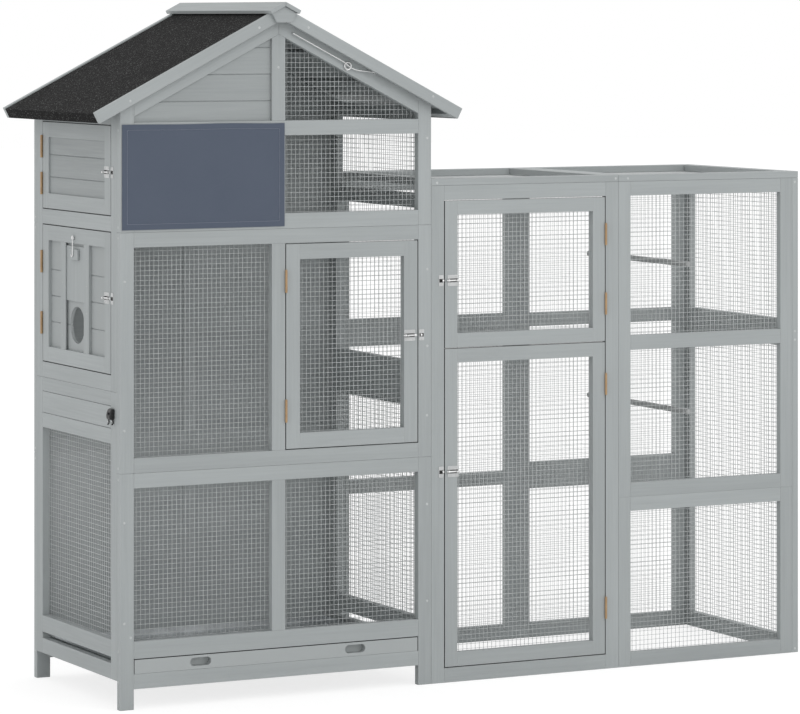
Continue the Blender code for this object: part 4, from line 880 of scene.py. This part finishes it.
class Door:
    """A door's frame and its fittings, in an opening from low to high on a wall.

    rises are the distances of the lower hinge, the upper hinge and the bolt from the door's ends.
    """

    def __init__(self, name, bodies, plane, low, high, hinge_side, rises, replaced, rail=DOOR_RAIL):
        body, bolt_body = bodies
        self.name, self.body, self.plane = name, body, plane
        foot, top = [c + DOOR_GAP for c in low], [c - DOOR_GAP for c in high]
        self.window = [c + rail for c in foot], [c - rail for c in top]
        self.frame = Piece(name + "_leaf", body, PAINT, replaced)
        (u0, v0), (u1, v1) = corners = [c + SEAM for c in foot], [c - SEAM for c in top]
        (a0, b0), (a1, b1) = self.window
        bars = (u0, v0, a0, v1), (a1, v0, u1, v1), (a0, v0, a1, b0), (a0, b1, a1, v1)
        self.frame.bars(plane, 0, TIMBER, *bars, ease=DOOR_EASE)
        along, outward = (Vector(axis) for axis in WALL[plane])
        away = along * -hinge_side
        hinge_u = low[0] + DOOR_GAP / 2 if hinge_side < 0 else high[0] - DOOR_GAP / 2
        free_u = top[0] if hinge_side < 0 else foot[0]

        def pair(look, moving, fixed):
            return [Piece(f"{name}_{moving}", body, look), Piece(f"{name}_{fixed}", "cage", look)]

        leaves = pair(BRONZE, "hinge_leaves", "hinge_fixed")
        for height in (foot[1] + rises[0], top[1] - rises[1]):
            hinge(leaves, on_wall(plane, hinge_u, height, PROUD), away, outward)
        # the slot pieces are painted shade behind the bolt and the keeper
        looks = {"plate": SHADED_BOLT_PLATE, "strap": ZINC, "slot": SLOT_PAINTED_SHADE}
        fittings = [pair(look, "bolt_" + kind, "keeper_" + kind) for kind, look in looks.items()]
        bolt = Piece(name + "_bolt_bar", bolt_body, ZINC, [name + "_bolt"])
        slide_bolt(*fittings, bolt, on_wall(plane, free_u, foot[1] + rises[2]), away, outward)
        # painted shade: near-black strips round the door's edge and round its opening
        painted_shades = pair(GAP_PAINTED_SHADE, "gap_edge", "gap_rim")
        painted_shade_strips(painted_shades[0], plane, *corners, SEAM)
        painted_shade_strips(painted_shades[1], plane, [c + RIM for c in low], [c - RIM for c in high], RIM)
        for piece in (*leaves, *sum(fittings, []), bolt, *painted_shades):
            piece.done(35)

    def netted(self, replaced):
        self.frame.done()
        net(self.name + "_wire", self.body, self.plane, INNER, *self.window, replaced)

    def panelled(self, title, face, top_board, pitch=BOARD_PITCH):
        """Fills the frame with tongue-and-groove boards."""
        low, high = ([c + t for c in corner] for corner, t in zip(self.window, (-TONGUE, TONGUE)))
        self.frame.done()
        panel = Piece(title, self.body, SHADED_PANEL_PAINT, [self.name])
        tongued(panel, self.plane, face, 1, low, high, (), top_board, pitch)
        return panel.done()


def front_door():
    low, high = (STILE[1], LOWER_JOINT_Z + RAIL), (WIDTH - RAIL, UPPER_JOINT_Z - RAIL)
    bodies, rises = ("front_door", "front_bolt"), (0.101, 0.098, 0.287)
    door = Door("front_door", bodies, "front", low, high, -1, rises, ["front_door_frame"])
    door.netted("front_door_mesh")


def side_door(title, span, rises):
    """A door in the left wall, hinged on its back side, with its bolt."""
    name, bodies = title + "_door", (title, title + "_bolt")
    return Door(name, bodies, "side", *zip(SIDE_Y, span), 1, rises, [name])


def upper_left_door():
    door = side_door("left_upper", UPPER_DOOR, (0.067, 0.067, 0.112))
    door.panelled("left_upper_panel", SET_BACK - 0.004, 0.050, 0.060)


LATCH_AT = (0.047, 0.7645)
POP = (0.308, 0.974)
POP_RADIUS = 0.049
GUIDE_FACE = SET_BACK - 0.0085
GUIDE_LIP = 0.0032
LIP_REACH = 0.006
GUIDE_EDGE = 0.063
HOOK_RADIUS = 0.0015
HOOK_AT = (0.309, 1.206)


def carve(obj, tool):
    """Cuts a tool's shape out of a piece's mesh."""
    modifier = obj.modifiers.new("cut", "BOOLEAN")
    modifier.operation, modifier.solver, modifier.object = "DIFFERENCE", "EXACT", tool
    bpy.context.view_layer.update()
    mesh = bpy.data.meshes.new_from_object(obj.evaluated_get(bpy.context.evaluated_depsgraph_get()))
    obj.modifiers.clear()
    obj.data = mesh
    bpy.data.objects.remove(tool)


def drill(obj, name, body, look, at, length, radius, sides):
    """Bores a round hole along x through a piece."""
    tool = Piece(name, body, look)
    lathe(tool, at, (1, 0, 0), [(0, 0), (0, radius), (length, radius), (length, 0)], sides)
    carve(obj, tool.done())


def cross_pin(name, body, look, replaced, foot, head, at, radius, dome):
    """A screw along x through a fitting of the left wall, with its domed head."""
    pin = Piece(name, body, look, [replaced])
    rod(pin, (foot, *at), (head - 0.0005, *at), radius)
    lathe(pin, (head, *at), (-1, 0, 0), dome)
    pin.done(40)


def middle_left_door():
    """The door with the pop hole, and its shutter between two rebated guides."""
    door = side_door("left_middle", MIDDLE_DOOR, (0.103, 0.100, 0.197))
    panel = door.panelled("pop_hole_panel", SET_BACK, 0.082)
    drill(panel, "pop_hole_cutter", "left_middle", PAINT, (-0.02, *POP), 0.06, POP_RADIUS, 48)
    guides = Piece("shutter_guides", "left_middle", PAINT, ["left_middle_door"])
    nails = []
    foot, height = door.window[0][1], door.window[1][1] - door.window[0][1]
    lip = GUIDE_FACE + GUIDE_LIP
    for side in (-1, 1):
        edge = POP[0] + side * GUIDE_EDGE
        outer, rebate, nail = (edge + side * reach for reach in (0.034, LIP_REACH, 0.020))
        section = [(GUIDE_FACE, edge), (GUIDE_FACE, outer), (SET_BACK, outer)]
        section += [(SET_BACK, rebate), (lip, rebate), (lip, edge)]
        board(guides, "flat", foot, height, section, (0, 0, 1), 0.0005)
        nails += [(GUIDE_FACE, nail, foot + height * share) for share in (0.13, 0.37, 0.62, 0.87)]
    guides.done()
    screws("guide_nails", "left_middle", nails, (-1, 0, 0), 0.0016)
    face, proud = lip + GAP, 0.007
    shutter = Piece("shutter_board", "pop_shutter", PAINT, ["shutter"])
    for near, thickness, half, low, high, ease in (
        (face, 0.0044, GUIDE_EDGE + LIP_REACH - 0.0006, 1.037, 1.183, 0.0005),
        (face - proud, proud + 0.0001, 0.0265, 1.147, 1.176, 0.0012),
    ):
        shutter.bars("side", near, thickness, (POP[0] - half, low, POP[0] + half, high), ease=ease)
    shutter.done()
    shutter_hook(face - proud - GAP - HOOK_RADIUS)


def shutter_hook(x):
    """The bent wire that holds the shutter up, and the screw it swings on."""
    y, z = HOOK_AT
    bend = 0.0048
    hook = Piece("shutter_hook_wire", "pop_hook", ZINC, ["shutter_hook"])
    outline = arc((y, z), bend, -40, 270, 24) + arc((y + bend, z - 0.0452), bend, 180, 370, 12)
    sweep(hook, [(x, u, v) for u, v in outline], HOOK_RADIUS)
    hook.done(50)
    dome = [(0, 0), (0, 0.0042), (0.0005, 0.0042), (0.001, 0.003), (0.001, 0.0012), (0.0006, 0.0006)]
    dome.append((0.0006, 0))
    head = x - HOOK_RADIUS - GAP
    cross_pin("hook_screw", "left_middle", ZINC, "left_middle_door", 0.004, head, HOOK_AT, 0.0014, dome)


def latch():
    """The black turn latch: a tapered head on its pin, with two hooked legs."""
    y, z = LATCH_AT
    width, thick = 0.024, 0.015
    outline = [(0, 0.012), (-0.0070, 0.012), (-0.0105, 0.0095), (-0.0146, -0.005), (-0.0146, -0.010)]
    outline += [(-0.0115, -0.0165), (0, -0.0165)]
    head = Piece("turn_latch_body", "turn_latch", BLACK, ["turn_latch"])
    head.add(prism("front", y - width / 2, width, [(u - GAP, z + v) for u, v in outline], 0.0028))
    drill(head.done(35), "latch_bore", "turn_latch", BLACK, (-0.03, y, z), 0.05, 0.0028, 24)
    legs = Piece("turn_latch_legs", "turn_latch", BLACK, ["turn_latch"])
    pins = Piece("turn_latch_pins", "turn_latch", ZINC, ["turn_latch"])
    bend = [(0, -0.014), (0.0016, -0.020), (0.0016, -0.0255), (-0.0006, -0.0288), (-0.0026, -0.0280)]
    ball = [(-0.0016, 0), (-0.0012, 0.0011), (0, 0.0016), (0.0012, 0.0011), (0.0016, 0)]
    for x, across in ((-0.0095, y + 0.0075), (-0.0045, y - 0.0075)):
        sweep(legs, rounded([(x + u, across, z + v) for u, v in bend], 0.003), 0.0019)
        lathe(pins, (x - 0.0020, across, z - 0.0205), (0, 1, 0), ball, 14)
    legs.done(50)
    pins.done(50)
    dome = [(0, 0), (0, 0.0045), (0.0006, 0.0044), (0.0011, 0.003), (0.0011, 0.0012), (0.0006, 0.0008)]
    dome.append((0.0006, 0))
    head_at = -2 * GAP - thick
    cross_pin("turn_latch_screw", "cage", BLACK, "left_frame_lower", 0.01, head_at, LATCH_AT, 0.0025, dome)


# Flight cage

RUN_POSTS = ((WIDTH + GAP, WIDTH + 0.0395), (RUN_X[1] - 0.041, RUN_X[1]))
END_POSTS = ((RUN_X[1] + GAP, RUN_X[1] + RAIL), (RUN_X[2] - RAIL, RUN_X[2] - GAP))
FRONT_SILL = 0.0395
BACK_SILL = 0.043
RUN_JOINT_Z = 0.4678
PERCH_X = 1.724
WASHER = [(0, 0), (0, 0.0020), (0.0022, 0.0020), (0.0022, 0.0074), (0.0032, 0.0072), (0.0034, 0.0040)]
WASHER += [(0.0036, 0.0036), (0.0034, 0.0014), (0.0028, 0)]


def flight_front():
    inner = RUN_POSTS[0][1], RUN_POSTS[1][0]
    piece = Piece("flight_front_bay1", "cage", PAINT, ["ext_front_bay1"])
    piece.bars("front", 0, TIMBER, *[(low, 0, high, RUN_HEIGHT) for low, high in RUN_POSTS])
    rails = (0, FRONT_SILL), (RUN_TOP, RUN_HEIGHT)
    piece.bars("front", 0, TIMBER, *[(inner[0], low, inner[1], high) for low, high in rails])
    piece.done()
    for part, low, high, rises in (
        ("ext_lower", FRONT_SILL, 0.8999, (0.127, 0.115, 0.526)),
        ("ext_upper", 0.8981, RUN_TOP, (0.104, 0.102, 0.182)),
    ):
        name, corners = part + "_door", ((inner[0], low), (inner[1], high))
        bodies, replaced = (name, part + "_bolt"), [name + "_frame"]
        Door(name, bodies, "front", *corners, 1, rises, replaced, 0.0385).netted(name + "_mesh")
    piece = Piece("flight_front_bay2", "cage", PAINT, ["ext_front_bay2"])
    for span, rails in (
        ((0, RUN_JOINT_Z), [(0, FRONT_SILL), (0.429, RUN_JOINT_Z)]),
        ((RUN_JOINT_Z, RUN_HEIGHT), [(RUN_JOINT_Z, 0.5066), (0.873, 0.9134), (RUN_TOP, RUN_HEIGHT)]),
    ):
        grid_frame(piece, "front", 0, span, [END_POSTS[0], rails, END_POSTS[1]])
    piece.done()
    low, high = (END_POSTS[0][1], FRONT_SILL), (END_POSTS[1][0], RUN_TOP)
    net("wire_flight_front", "cage", "front", INNER, low, high, "ext_mesh_front")


def flight_back():
    left = [(0, BACK_SILL), (0.446, 0.484), (0.861, 0.900), (0.900, 0.939), (RUN_TOP, RUN_HEIGHT)]
    right = [(0, BACK_SILL), (0.430, 0.468), (0.468, 0.506), (0.898, 0.937), (RUN_TOP, RUN_HEIGHT)]
    columns = [RUN_POSTS[0], left, RUN_POSTS[1], [], (RUN_X[1], RUN_X[1] + RAIL), right, END_POSTS[1]]
    piece = Piece("flight_back", "cage", PAINT, ["ext_back_frame"])
    grid_frame(piece, "front", BACK, (0, RUN_HEIGHT), columns)
    piece.done()
    low, high = (RUN_POSTS[0][1], BACK_SILL), (END_POSTS[1][0], RUN_TOP)
    net("wire_flight_back", "cage", "front", BACK - GAP - NET, low, high, "ext_mesh_back")


def flight_end():
    rails = [(0, BACK_SILL), (0.861, 0.899), (0.899, 0.937), (RUN_TOP, RUN_HEIGHT)]
    piece = Piece("flight_end", "cage", PAINT, ["ext_right_frame"])
    columns = [(0, SIDE_STILE), rails, (DEPTH - SIDE_STILE, DEPTH)]
    grid_frame(piece, "side", RUN_X[2], (0, RUN_HEIGHT), columns)
    piece.done()
    low, high = (SIDE_STILE, BACK_SILL), (DEPTH - SIDE_STILE, RUN_TOP)
    net("wire_flight_end", "cage", "side", RUN_X[2] - GAP - NET, low, high, "ext_mesh_right")


def flight_roof():
    under = RUN_HEIGHT + GAP
    for name, low, high in (("left", WIDTH + GAP, RUN_X[1]), ("right", RUN_X[1] + GAP, END_X)):
        piece = Piece("flight_roof_" + name, "cage", PAINT, ["ext_roof_" + name])
        rails = (low, 0, high, RAIL), (low, DEPTH - RAIL, high, DEPTH)
        ends = (low, RAIL, low + RAIL, DEPTH - RAIL), (high - RAIL, RAIL, high, DEPTH - RAIL)
        piece.bars("flat", under, RUN_ROOF, *rails, *ends)
        piece.done()
    low, high = (WIDTH + RAIL, RAIL), (END_X - RAIL, DEPTH - RAIL)
    net("wire_flight_roof", "cage", "flat", under - GAP - NET, low, high, "ext_mesh_roof")


def perches():
    end = INNER + NET + GAP
    for name, z in (("upper", 1.103), ("lower", 0.692)):
        dowel = Piece("perch_dowel_" + name, "cage", DOWEL, ["perch_" + name])
        shape = turned((PERCH_X, end, z), (0, 1, 0), rod_profile(DEPTH - 2 * end, 0.008, 0.001), 24)
        dowel.add(shape, board_fields(shape, (0, 1, 0)))
        dowel.done(40)
        ends = Piece("perch_screws_" + name, "cage", DULL, ["perch_" + name])
        for y, way in ((end, -1), (DEPTH - end, 1)):
            lathe(ends, (PERCH_X, y, z), (0, way, 0), WASHER)
        ends.done(40)


# Roof


def roof_point(run, depth, side):
    x = run * SLOPE_COS - depth * SLOPE_SIN
    z = BARGE_APEX_Z - run * SLOPE_SIN - depth * SLOPE_COS
    return (MIDDLE + side * x, z)


def slope_board(piece, side, low, high, near, thickness, across=False, gap=GAP):
    """A board of the roof from (run, depth) to (run, depth): along the slope, or across it front to back."""
    outline = []
    for run, depth in (low, (high[0], low[1]), high, (low[0], high[1])):
        if run == 0:
            run = gap / SLOPE_COS + depth * SLOPE
        outline.append(roof_point(run, depth, side))
    along = (0, 1, 0) if across else (side, 0, -SLOPE)
    board(piece, "front", near, thickness, outline, along)


OVERHANG = 0.012
BARGE = 0.015
BARGE_FACE = -0.027
CAP = 0.010
CAP_OVERHANG = 0.045
CAP_RUN, BLOCK_RUN = 0.040 / SLOPE_COS, 0.036 / SLOPE_COS
BLOCK_HALF, BLOCK_DEPTH = 0.022, 0.043
DECK_BOARDS = 6
BATTEN_RUNS = (0.415, 0.235, 0.055)
BATTEN_HALF = 0.015
EAVE_BATTEN, EAVE_DEPTH = 0.022, 0.0305
BARGE_DEPTH = 0.031


def roof():
    """Both halves: deck boards on battens, two bargeboards, and half of the ridge cap."""
    top = FELT_DEPTH + FELT + GAP
    under = top + DECK
    deck_end = EAVE_RUN - FELT - GAP
    whole = -OVERHANG, DEPTH + 2 * OVERHANG, True
    for side, title, body in ((-1, "left", "cage"), (1, "right", "roof_right")):
        deck = Piece(f"roof_{title}_boards", body, PAINT, [f"roof_{title}_deck"])
        for i in range(DECK_BOARDS):
            low, high = (deck_end * k / DECK_BOARDS for k in (i, i + 1))
            slope_board(deck, side, (low, top), (high, under), *whole, 0.0015)
        for run in BATTEN_RUNS:
            slope_board(deck, side, (run - BATTEN_HALF, under), (run + BATTEN_HALF, under + BATTEN), *whole)
        slope_board(deck, side, (deck_end - EAVE_BATTEN, under), (deck_end, EAVE_DEPTH), *whole)
        for near in (BARGE_FACE, DEPTH + OVERHANG):
            slope_board(deck, side, (0, 0), (EAVE_RUN, BARGE_DEPTH), near, BARGE)
        deck.done()
        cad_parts[f"roof_{title}_felt"].material_slots[0].material = FELT_LOOK
        cap = Piece(f"ridge_board_{title}", body, PAINT, [f"ridge_cap_{title}"])
        length = DEPTH + 2 * CAP_OVERHANG
        slope_board(cap, side, (0, -GAP - CAP), (CAP_RUN, -GAP), -CAP_OVERHANG, length, True)
        if side < 0:
            outline = [(MIDDLE + way * BLOCK_HALF, BARGE_APEX_Z - BLOCK_DEPTH) for way in (-1, 1)]
            outline += [roof_point(run, 0, way) for run, way in ((BLOCK_RUN, 1), (0, 1), (BLOCK_RUN, -1))]
            for near in (-0.0373, DEPTH + 0.0273):
                board(cap, "front", near, CAP, outline, (1, 0, 0), 0.0012)
        cap.done()


STAY_PIVOT = (0.737, 1.643)
STAY_TIP = (0.491, 1.748)
STAY_EYE = (0.654, 1.661)
STAY_CRANK = ((0.686, 1.6485), (0.670, 1.652), (0.656, 1.6595), (0.640, 1.672))


def stay():
    """The bent wire that holds the roof open, its lug under the roof and its screw eye on the rafter."""
    y, foot, ear = -0.0085, -0.0008, 0.0055
    (x0, z0), (x1, z1) = STAY_PIVOT, STAY_TIP
    bends = [(u, y, v) for u, v in (STAY_PIVOT, *STAY_CRANK, STAY_TIP)]
    wire = Piece("stay_wire", "roof_stay", ZINC, ["roof_stay_rod"])
    sweep(wire, rounded([(x0, foot, z0), *bends, (x1, foot, z1)], 0.006), 0.0016)
    wire.done(50)
    lug = Piece("stay_lug", "roof_right", ZINC, ["roof_right_deck"])
    outline = [(x0 + u, z0 + v) for u, v in arc((0, 0), ear, 180, 360, 12)]
    rise = BARGE_APEX_Z - (x0 - MIDDLE) * SLOPE - (FELT_DEPTH + FELT + DECK / 2) / SLOPE_COS
    outline += [(x0 + ear, rise - ear * SLOPE), (x0 - ear, rise)]
    lug.add(prism("front", -0.004, 0.002, outline, 0.0002))
    lug.done(40)
    x, z = STAY_EYE
    level, wide, wire_radius = -0.0045, 0.0095, 0.002
    eye = Piece("stay_eye_ring", "cage", ZINC, ["roof_stay_eye"])
    sweep(eye, [(u, level, v) for u, v in arc((x, z), wide, 0, 360, 36)[:-1]], wire_radius, True)
    rod(eye, (x, level, z - wide), (x, 0.002, z - wide), wire_radius)
    washer = [(0, 0), (0, 0.0034), (0.0006, 0.0032), (0.0009, 0.002), (0.0009, 0)]
    lathe(eye, (x, -0.0002, z - wide), (0, -1, 0), washer)
    eye.done(50)


# Tray


def stadium(centre, length, height):
    radius = height / 2
    reach = length / 2 - radius
    right = arc((centre[0] + reach, centre[1]), radius, -90, 90, 10)
    return right + arc((centre[0] - reach, centre[1]), radius, 90, 270, 10)


SLOT_REACH = 0.225
SLOT_SIZE = (0.060, 0.022)
SLOT_FLOOR = (0.0596, 0.0216)


def tray():
    """The tray's front board with its two finger slots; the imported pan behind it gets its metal."""
    low, high = RAIL + 0.002, WIDTH - RAIL - 0.002
    foot, top = TRAY_Z + GAP, FLOOR_Z - 0.001
    rim = top - 0.0014
    piece = Piece("tray_front_board", "tray", PAINT, ["tray_front"])
    piece.bars("front", 0, TIMBER, (low, foot, high - SEAM, rim), ease=DOOR_EASE)
    front = piece.done()
    # painted shade: near-black strips along the gap over the tray front and at its right end
    shade = Piece("tray_gap", "tray", GAP_PAINTED_SHADE)
    for strip in (rect(low, rim, high, top - 0.0002), rect(high - SEAM, TRAY_Z + 0.001, high, rim)):
        shade.add(prism("front", 0.001, 0.006, strip, 0))
    shade.done()
    upstand = Piece("tray_upstand", "tray", PAINT)
    for side in (-1, 1):
        cutter = Piece("slot_cutter", "tray", PAINT)
        middle = (MIDDLE + side * SLOT_REACH, (TRAY_Z + FLOOR_Z) / 2)
        cutter.add(prism("front", -0.01, 0.04, stadium(middle, *SLOT_SIZE), 0))
        carve(front, cutter.done())
        upstand.add(prism("front", TIMBER - 0.0015, 0.001, stadium(middle, *SLOT_FLOOR), 0))
    upstand.done()
    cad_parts["tray_pan"].material_slots[0].material = TRAY


# Fabric cover

COVER = ((0.005, 1.240), (0.469, 1.5125))
CLOTH = 0.0010
HEM = 0.016
SEAM_IN = 0.0145
STITCH = 0.0052
THREAD_Y, THREAD_RADIUS = -0.0023, 0.00035


def cloth_lift(t, s):
    """How far the cloth's edge waves up, at these shares of its width and height."""
    return 0.0010 * math.sin(11 * t + 1) * s ** 6 * (0.3 + 0.7 * t)


def cover():
    """A taut cloth over the upper left window: a flat-felled hem all round, sewn with one row of stitches."""
    (u0, v0), (u1, v1) = COVER
    columns, rows = 116, 68
    shape = bmesh.new()

    def vertex(face, i, j):
        u, v = u0 + (u1 - u0) * i / columns, v0 + (v1 - v0) * j / rows
        inside = min(u - u0, u1 - u, v - v0, v1 - v)
        t, s = (u - u0) / (u1 - u0), (v - v0) / (v1 - v0)
        slack = 0.0005 * math.sin(9 * t + 2 * s) * math.sin(math.pi * s) + 0.0003 * math.sin(23 * t - 4 * s)
        out = 0.0006 + 0.3 * abs(slack)
        if face:
            out += CLOTH + (0.0006 if inside < HEM else 0) - 0.0004 * math.exp(-((inside - HEM) / 0.002) ** 2)
            out += slack * 0.5 + 0.0002
        return shape.verts.new((u, -max(out, GAP), v + cloth_lift(t, s)))

    sides = [[[vertex(face, i, j) for i in range(columns + 1)] for j in range(rows + 1)] for face in (0, 1)]
    for face, grid in enumerate(sides):
        for low, high in zip(grid, grid[1:]):
            for corners in zip(low, low[1:], high[1:], high):
                shape.faces.new(corners if face else corners[::-1])
    rims = []
    for grid in sides:
        rim = grid[0][:-1] + [line[-1] for line in grid[:-1]]
        rims.append(rim + grid[-1][:0:-1] + [line[0] for line in grid[:0:-1]])
    for back, front in zip(*[zip(rim, rim[1:] + rim[:1]) for rim in rims]):
        shape.faces.new((*back, *front[::-1]))
    piece = Piece("window_cover", "cage", FABRIC, ["cover_sheet"])
    piece.add(eased(shape, 0))
    cloth = piece.done(60)
    thread = Piece("cover_stitches", "cage", THREAD)
    corners = [Vector(corner) for corner in rect(u0 + SEAM_IN, v0 + SEAM_IN, u1 - SEAM_IN, v1 - SEAM_IN)]
    for a, b in zip(corners, corners[1:] + corners[:1]):
        count = round((b - a).length / STITCH)
        for i in range(count):
            start, end = (a.lerp(b, (i + k) / count) for k in (0.12, 0.82))
            t = ((start.x + end.x) / 2 - u0) / (u1 - u0)
            s = ((start.y + end.y) / 2 - v0) / (v1 - v0)
            ends = [(point.x, THREAD_Y, point.y + cloth_lift(t, s)) for point in (start, end)]
            rod(thread, *ends, THREAD_RADIUS, 6, 0.00015)
    stitches = thread.done(50)


def frame_screws():
    """The screws that show along the frames and the bargeboards."""
    front = [(x, z) for x in (0.012, 0.893) for z in (0.722, 0.484, 0.224)]
    front.insert(3, (0.030, 0.187))
    front += [(0.013, 1.107), (0.894, 1.114), (0.894, 0.908), (0.894, 1.466), (0.452, 1.658)]
    front += [(0.924, 1.345), (1.479, 1.3465), (1.518, 1.346)]
    left = [(0, 0.0125, z) for z in (1.498, 1.247, 1.219, 0.624, 0.595, 0.152, 0.073)]
    left += [(0, 0.583, z) for z in (1.249, 1.220, 0.623, 0.595, 0.074)]
    forward = (0, -1, 0)
    screws("front_screws", "cage", [(x, 0, z) for x, z in front], forward)
    screws("left_screws", "cage", left, (-1, 0, 0))
    for side, body, places in (
        ("left", "cage", ((0.017, 1.574), (0.384, 1.763))),
        ("right", "roof_right", ((0.527, 1.763), (0.898, 1.578))),
    ):
        screws("barge_screws_" + side, body, [(x, BARGE_FACE, z) for x, z in places], forward)
    screws("end_screws", "cage", [(2.063, 0, z) for z in (1.326, 0.905, 0.881, 0.011)], forward)
    back = [(x, DEPTH, z) for x in (0.012, 0.893) for z in (1.466, 1.247, 1.219, 0.722, 0.484, 0.224)]
    screws("back_screws", "cage", back, (0, 1, 0))


house_front()
house_back()
side_walls()
front_door()
upper_left_door()
middle_left_door()
latch()
flight_front()
flight_back()
flight_end()
flight_roof()
perches()
roof()
stay()
tray()
cover()
frame_screws()


# Floor, light and camera


def studio():
    """A floor that shows white and takes soft shadows, a white world, and two area lamps."""

    def grey(tree, kind, tone, **inputs):
        return node(tree, kind, {"Color": rgb(tone, tone, tone), **inputs}).outputs[0]

    reach = 40
    floor = bpy.data.meshes.new("floor")
    floor.from_pydata([(*corner, 0) for corner in rect(-reach, -reach, reach, reach)], [], [(0, 1, 2, 3)])
    made, tree = blank("floor", 0.9, Base_Color=rgb(0.93, 0.93, 0.93))
    shown, glow = grey(tree, "BsdfDiffuse", 0.30), grey(tree, "Emission", 1, Strength=0.78)
    sheet = node(tree, "AddShader", {0: shown, 1: glow}).outputs[0]
    seen = node(tree, "LightPath").outputs["Is Camera Ray"]
    lit = tree.nodes["Principled BSDF"].outputs[0]
    surface = node(tree, "MixShader", {0: seen, 1: lit, 2: sheet}).outputs[0]
    tree.links.new(surface, tree.nodes["Material Output"].inputs["Surface"])
    floor.materials.append(made)
    obj = linked(bpy.data.objects.new("floor", floor))
    world = bpy.context.scene.world or bpy.data.worlds.new("studio")
    bpy.context.scene.world = world
    world.use_nodes = True
    tree = world.node_tree
    tree.nodes.clear()
    rays = node(tree, "LightPath").outputs
    seen = rays["Is Camera Ray"]
    for kind in ("Is Glossy Ray", "Is Transmission Ray"):
        seen = math_node(tree, "MAXIMUM", seen, rays[kind])
    soft, white = (grey(tree, "Background", 1, Strength=strength) for strength in (0.90, 1.0))
    mix = node(tree, "MixShader", {0: seen, 1: soft, 2: white}).outputs[0]
    node(tree, "OutputWorld", {"Surface": mix})
    for name, place, aim, size, power in (
        ("key", (1.5, -6.0, 5.0), (0, 0, 0.8), 4.0, 80),
        ("left", (-6.0, -1.0, 0.6), (-1, 0, 0.5), 3.0, 20),
    ):
        lamp = bpy.data.lights.new(name, "AREA")
        lamp.size, lamp.energy = size, power
        light = linked(bpy.data.objects.new(name, lamp))
        light.location = place
        light.rotation_euler = (Vector(aim) - Vector(place)).to_track_quat("-Z", "Y").to_euler()


def camera():
    """The camera fitted to the photo, with its focal length and shift in the photo's pixels."""
    width, focal, shift = 800, 3932, -339.8
    lens = bpy.data.cameras.new("camera")
    lens.sensor_width = 36
    lens.lens = lens.sensor_width * focal / width
    lens.shift_y = shift / width
    lens.clip_end = 200
    view = linked(bpy.data.objects.new("camera", lens))
    view.location = Vector((-3.9894, -9.3544, 1.7904)) - ORIGIN
    view.rotation_euler = (math.radians(90), 0, math.radians(-27.169))
    bpy.context.scene.camera = view


studio()
camera()
bpy.context.scene.view_settings.view_transform = "Standard"
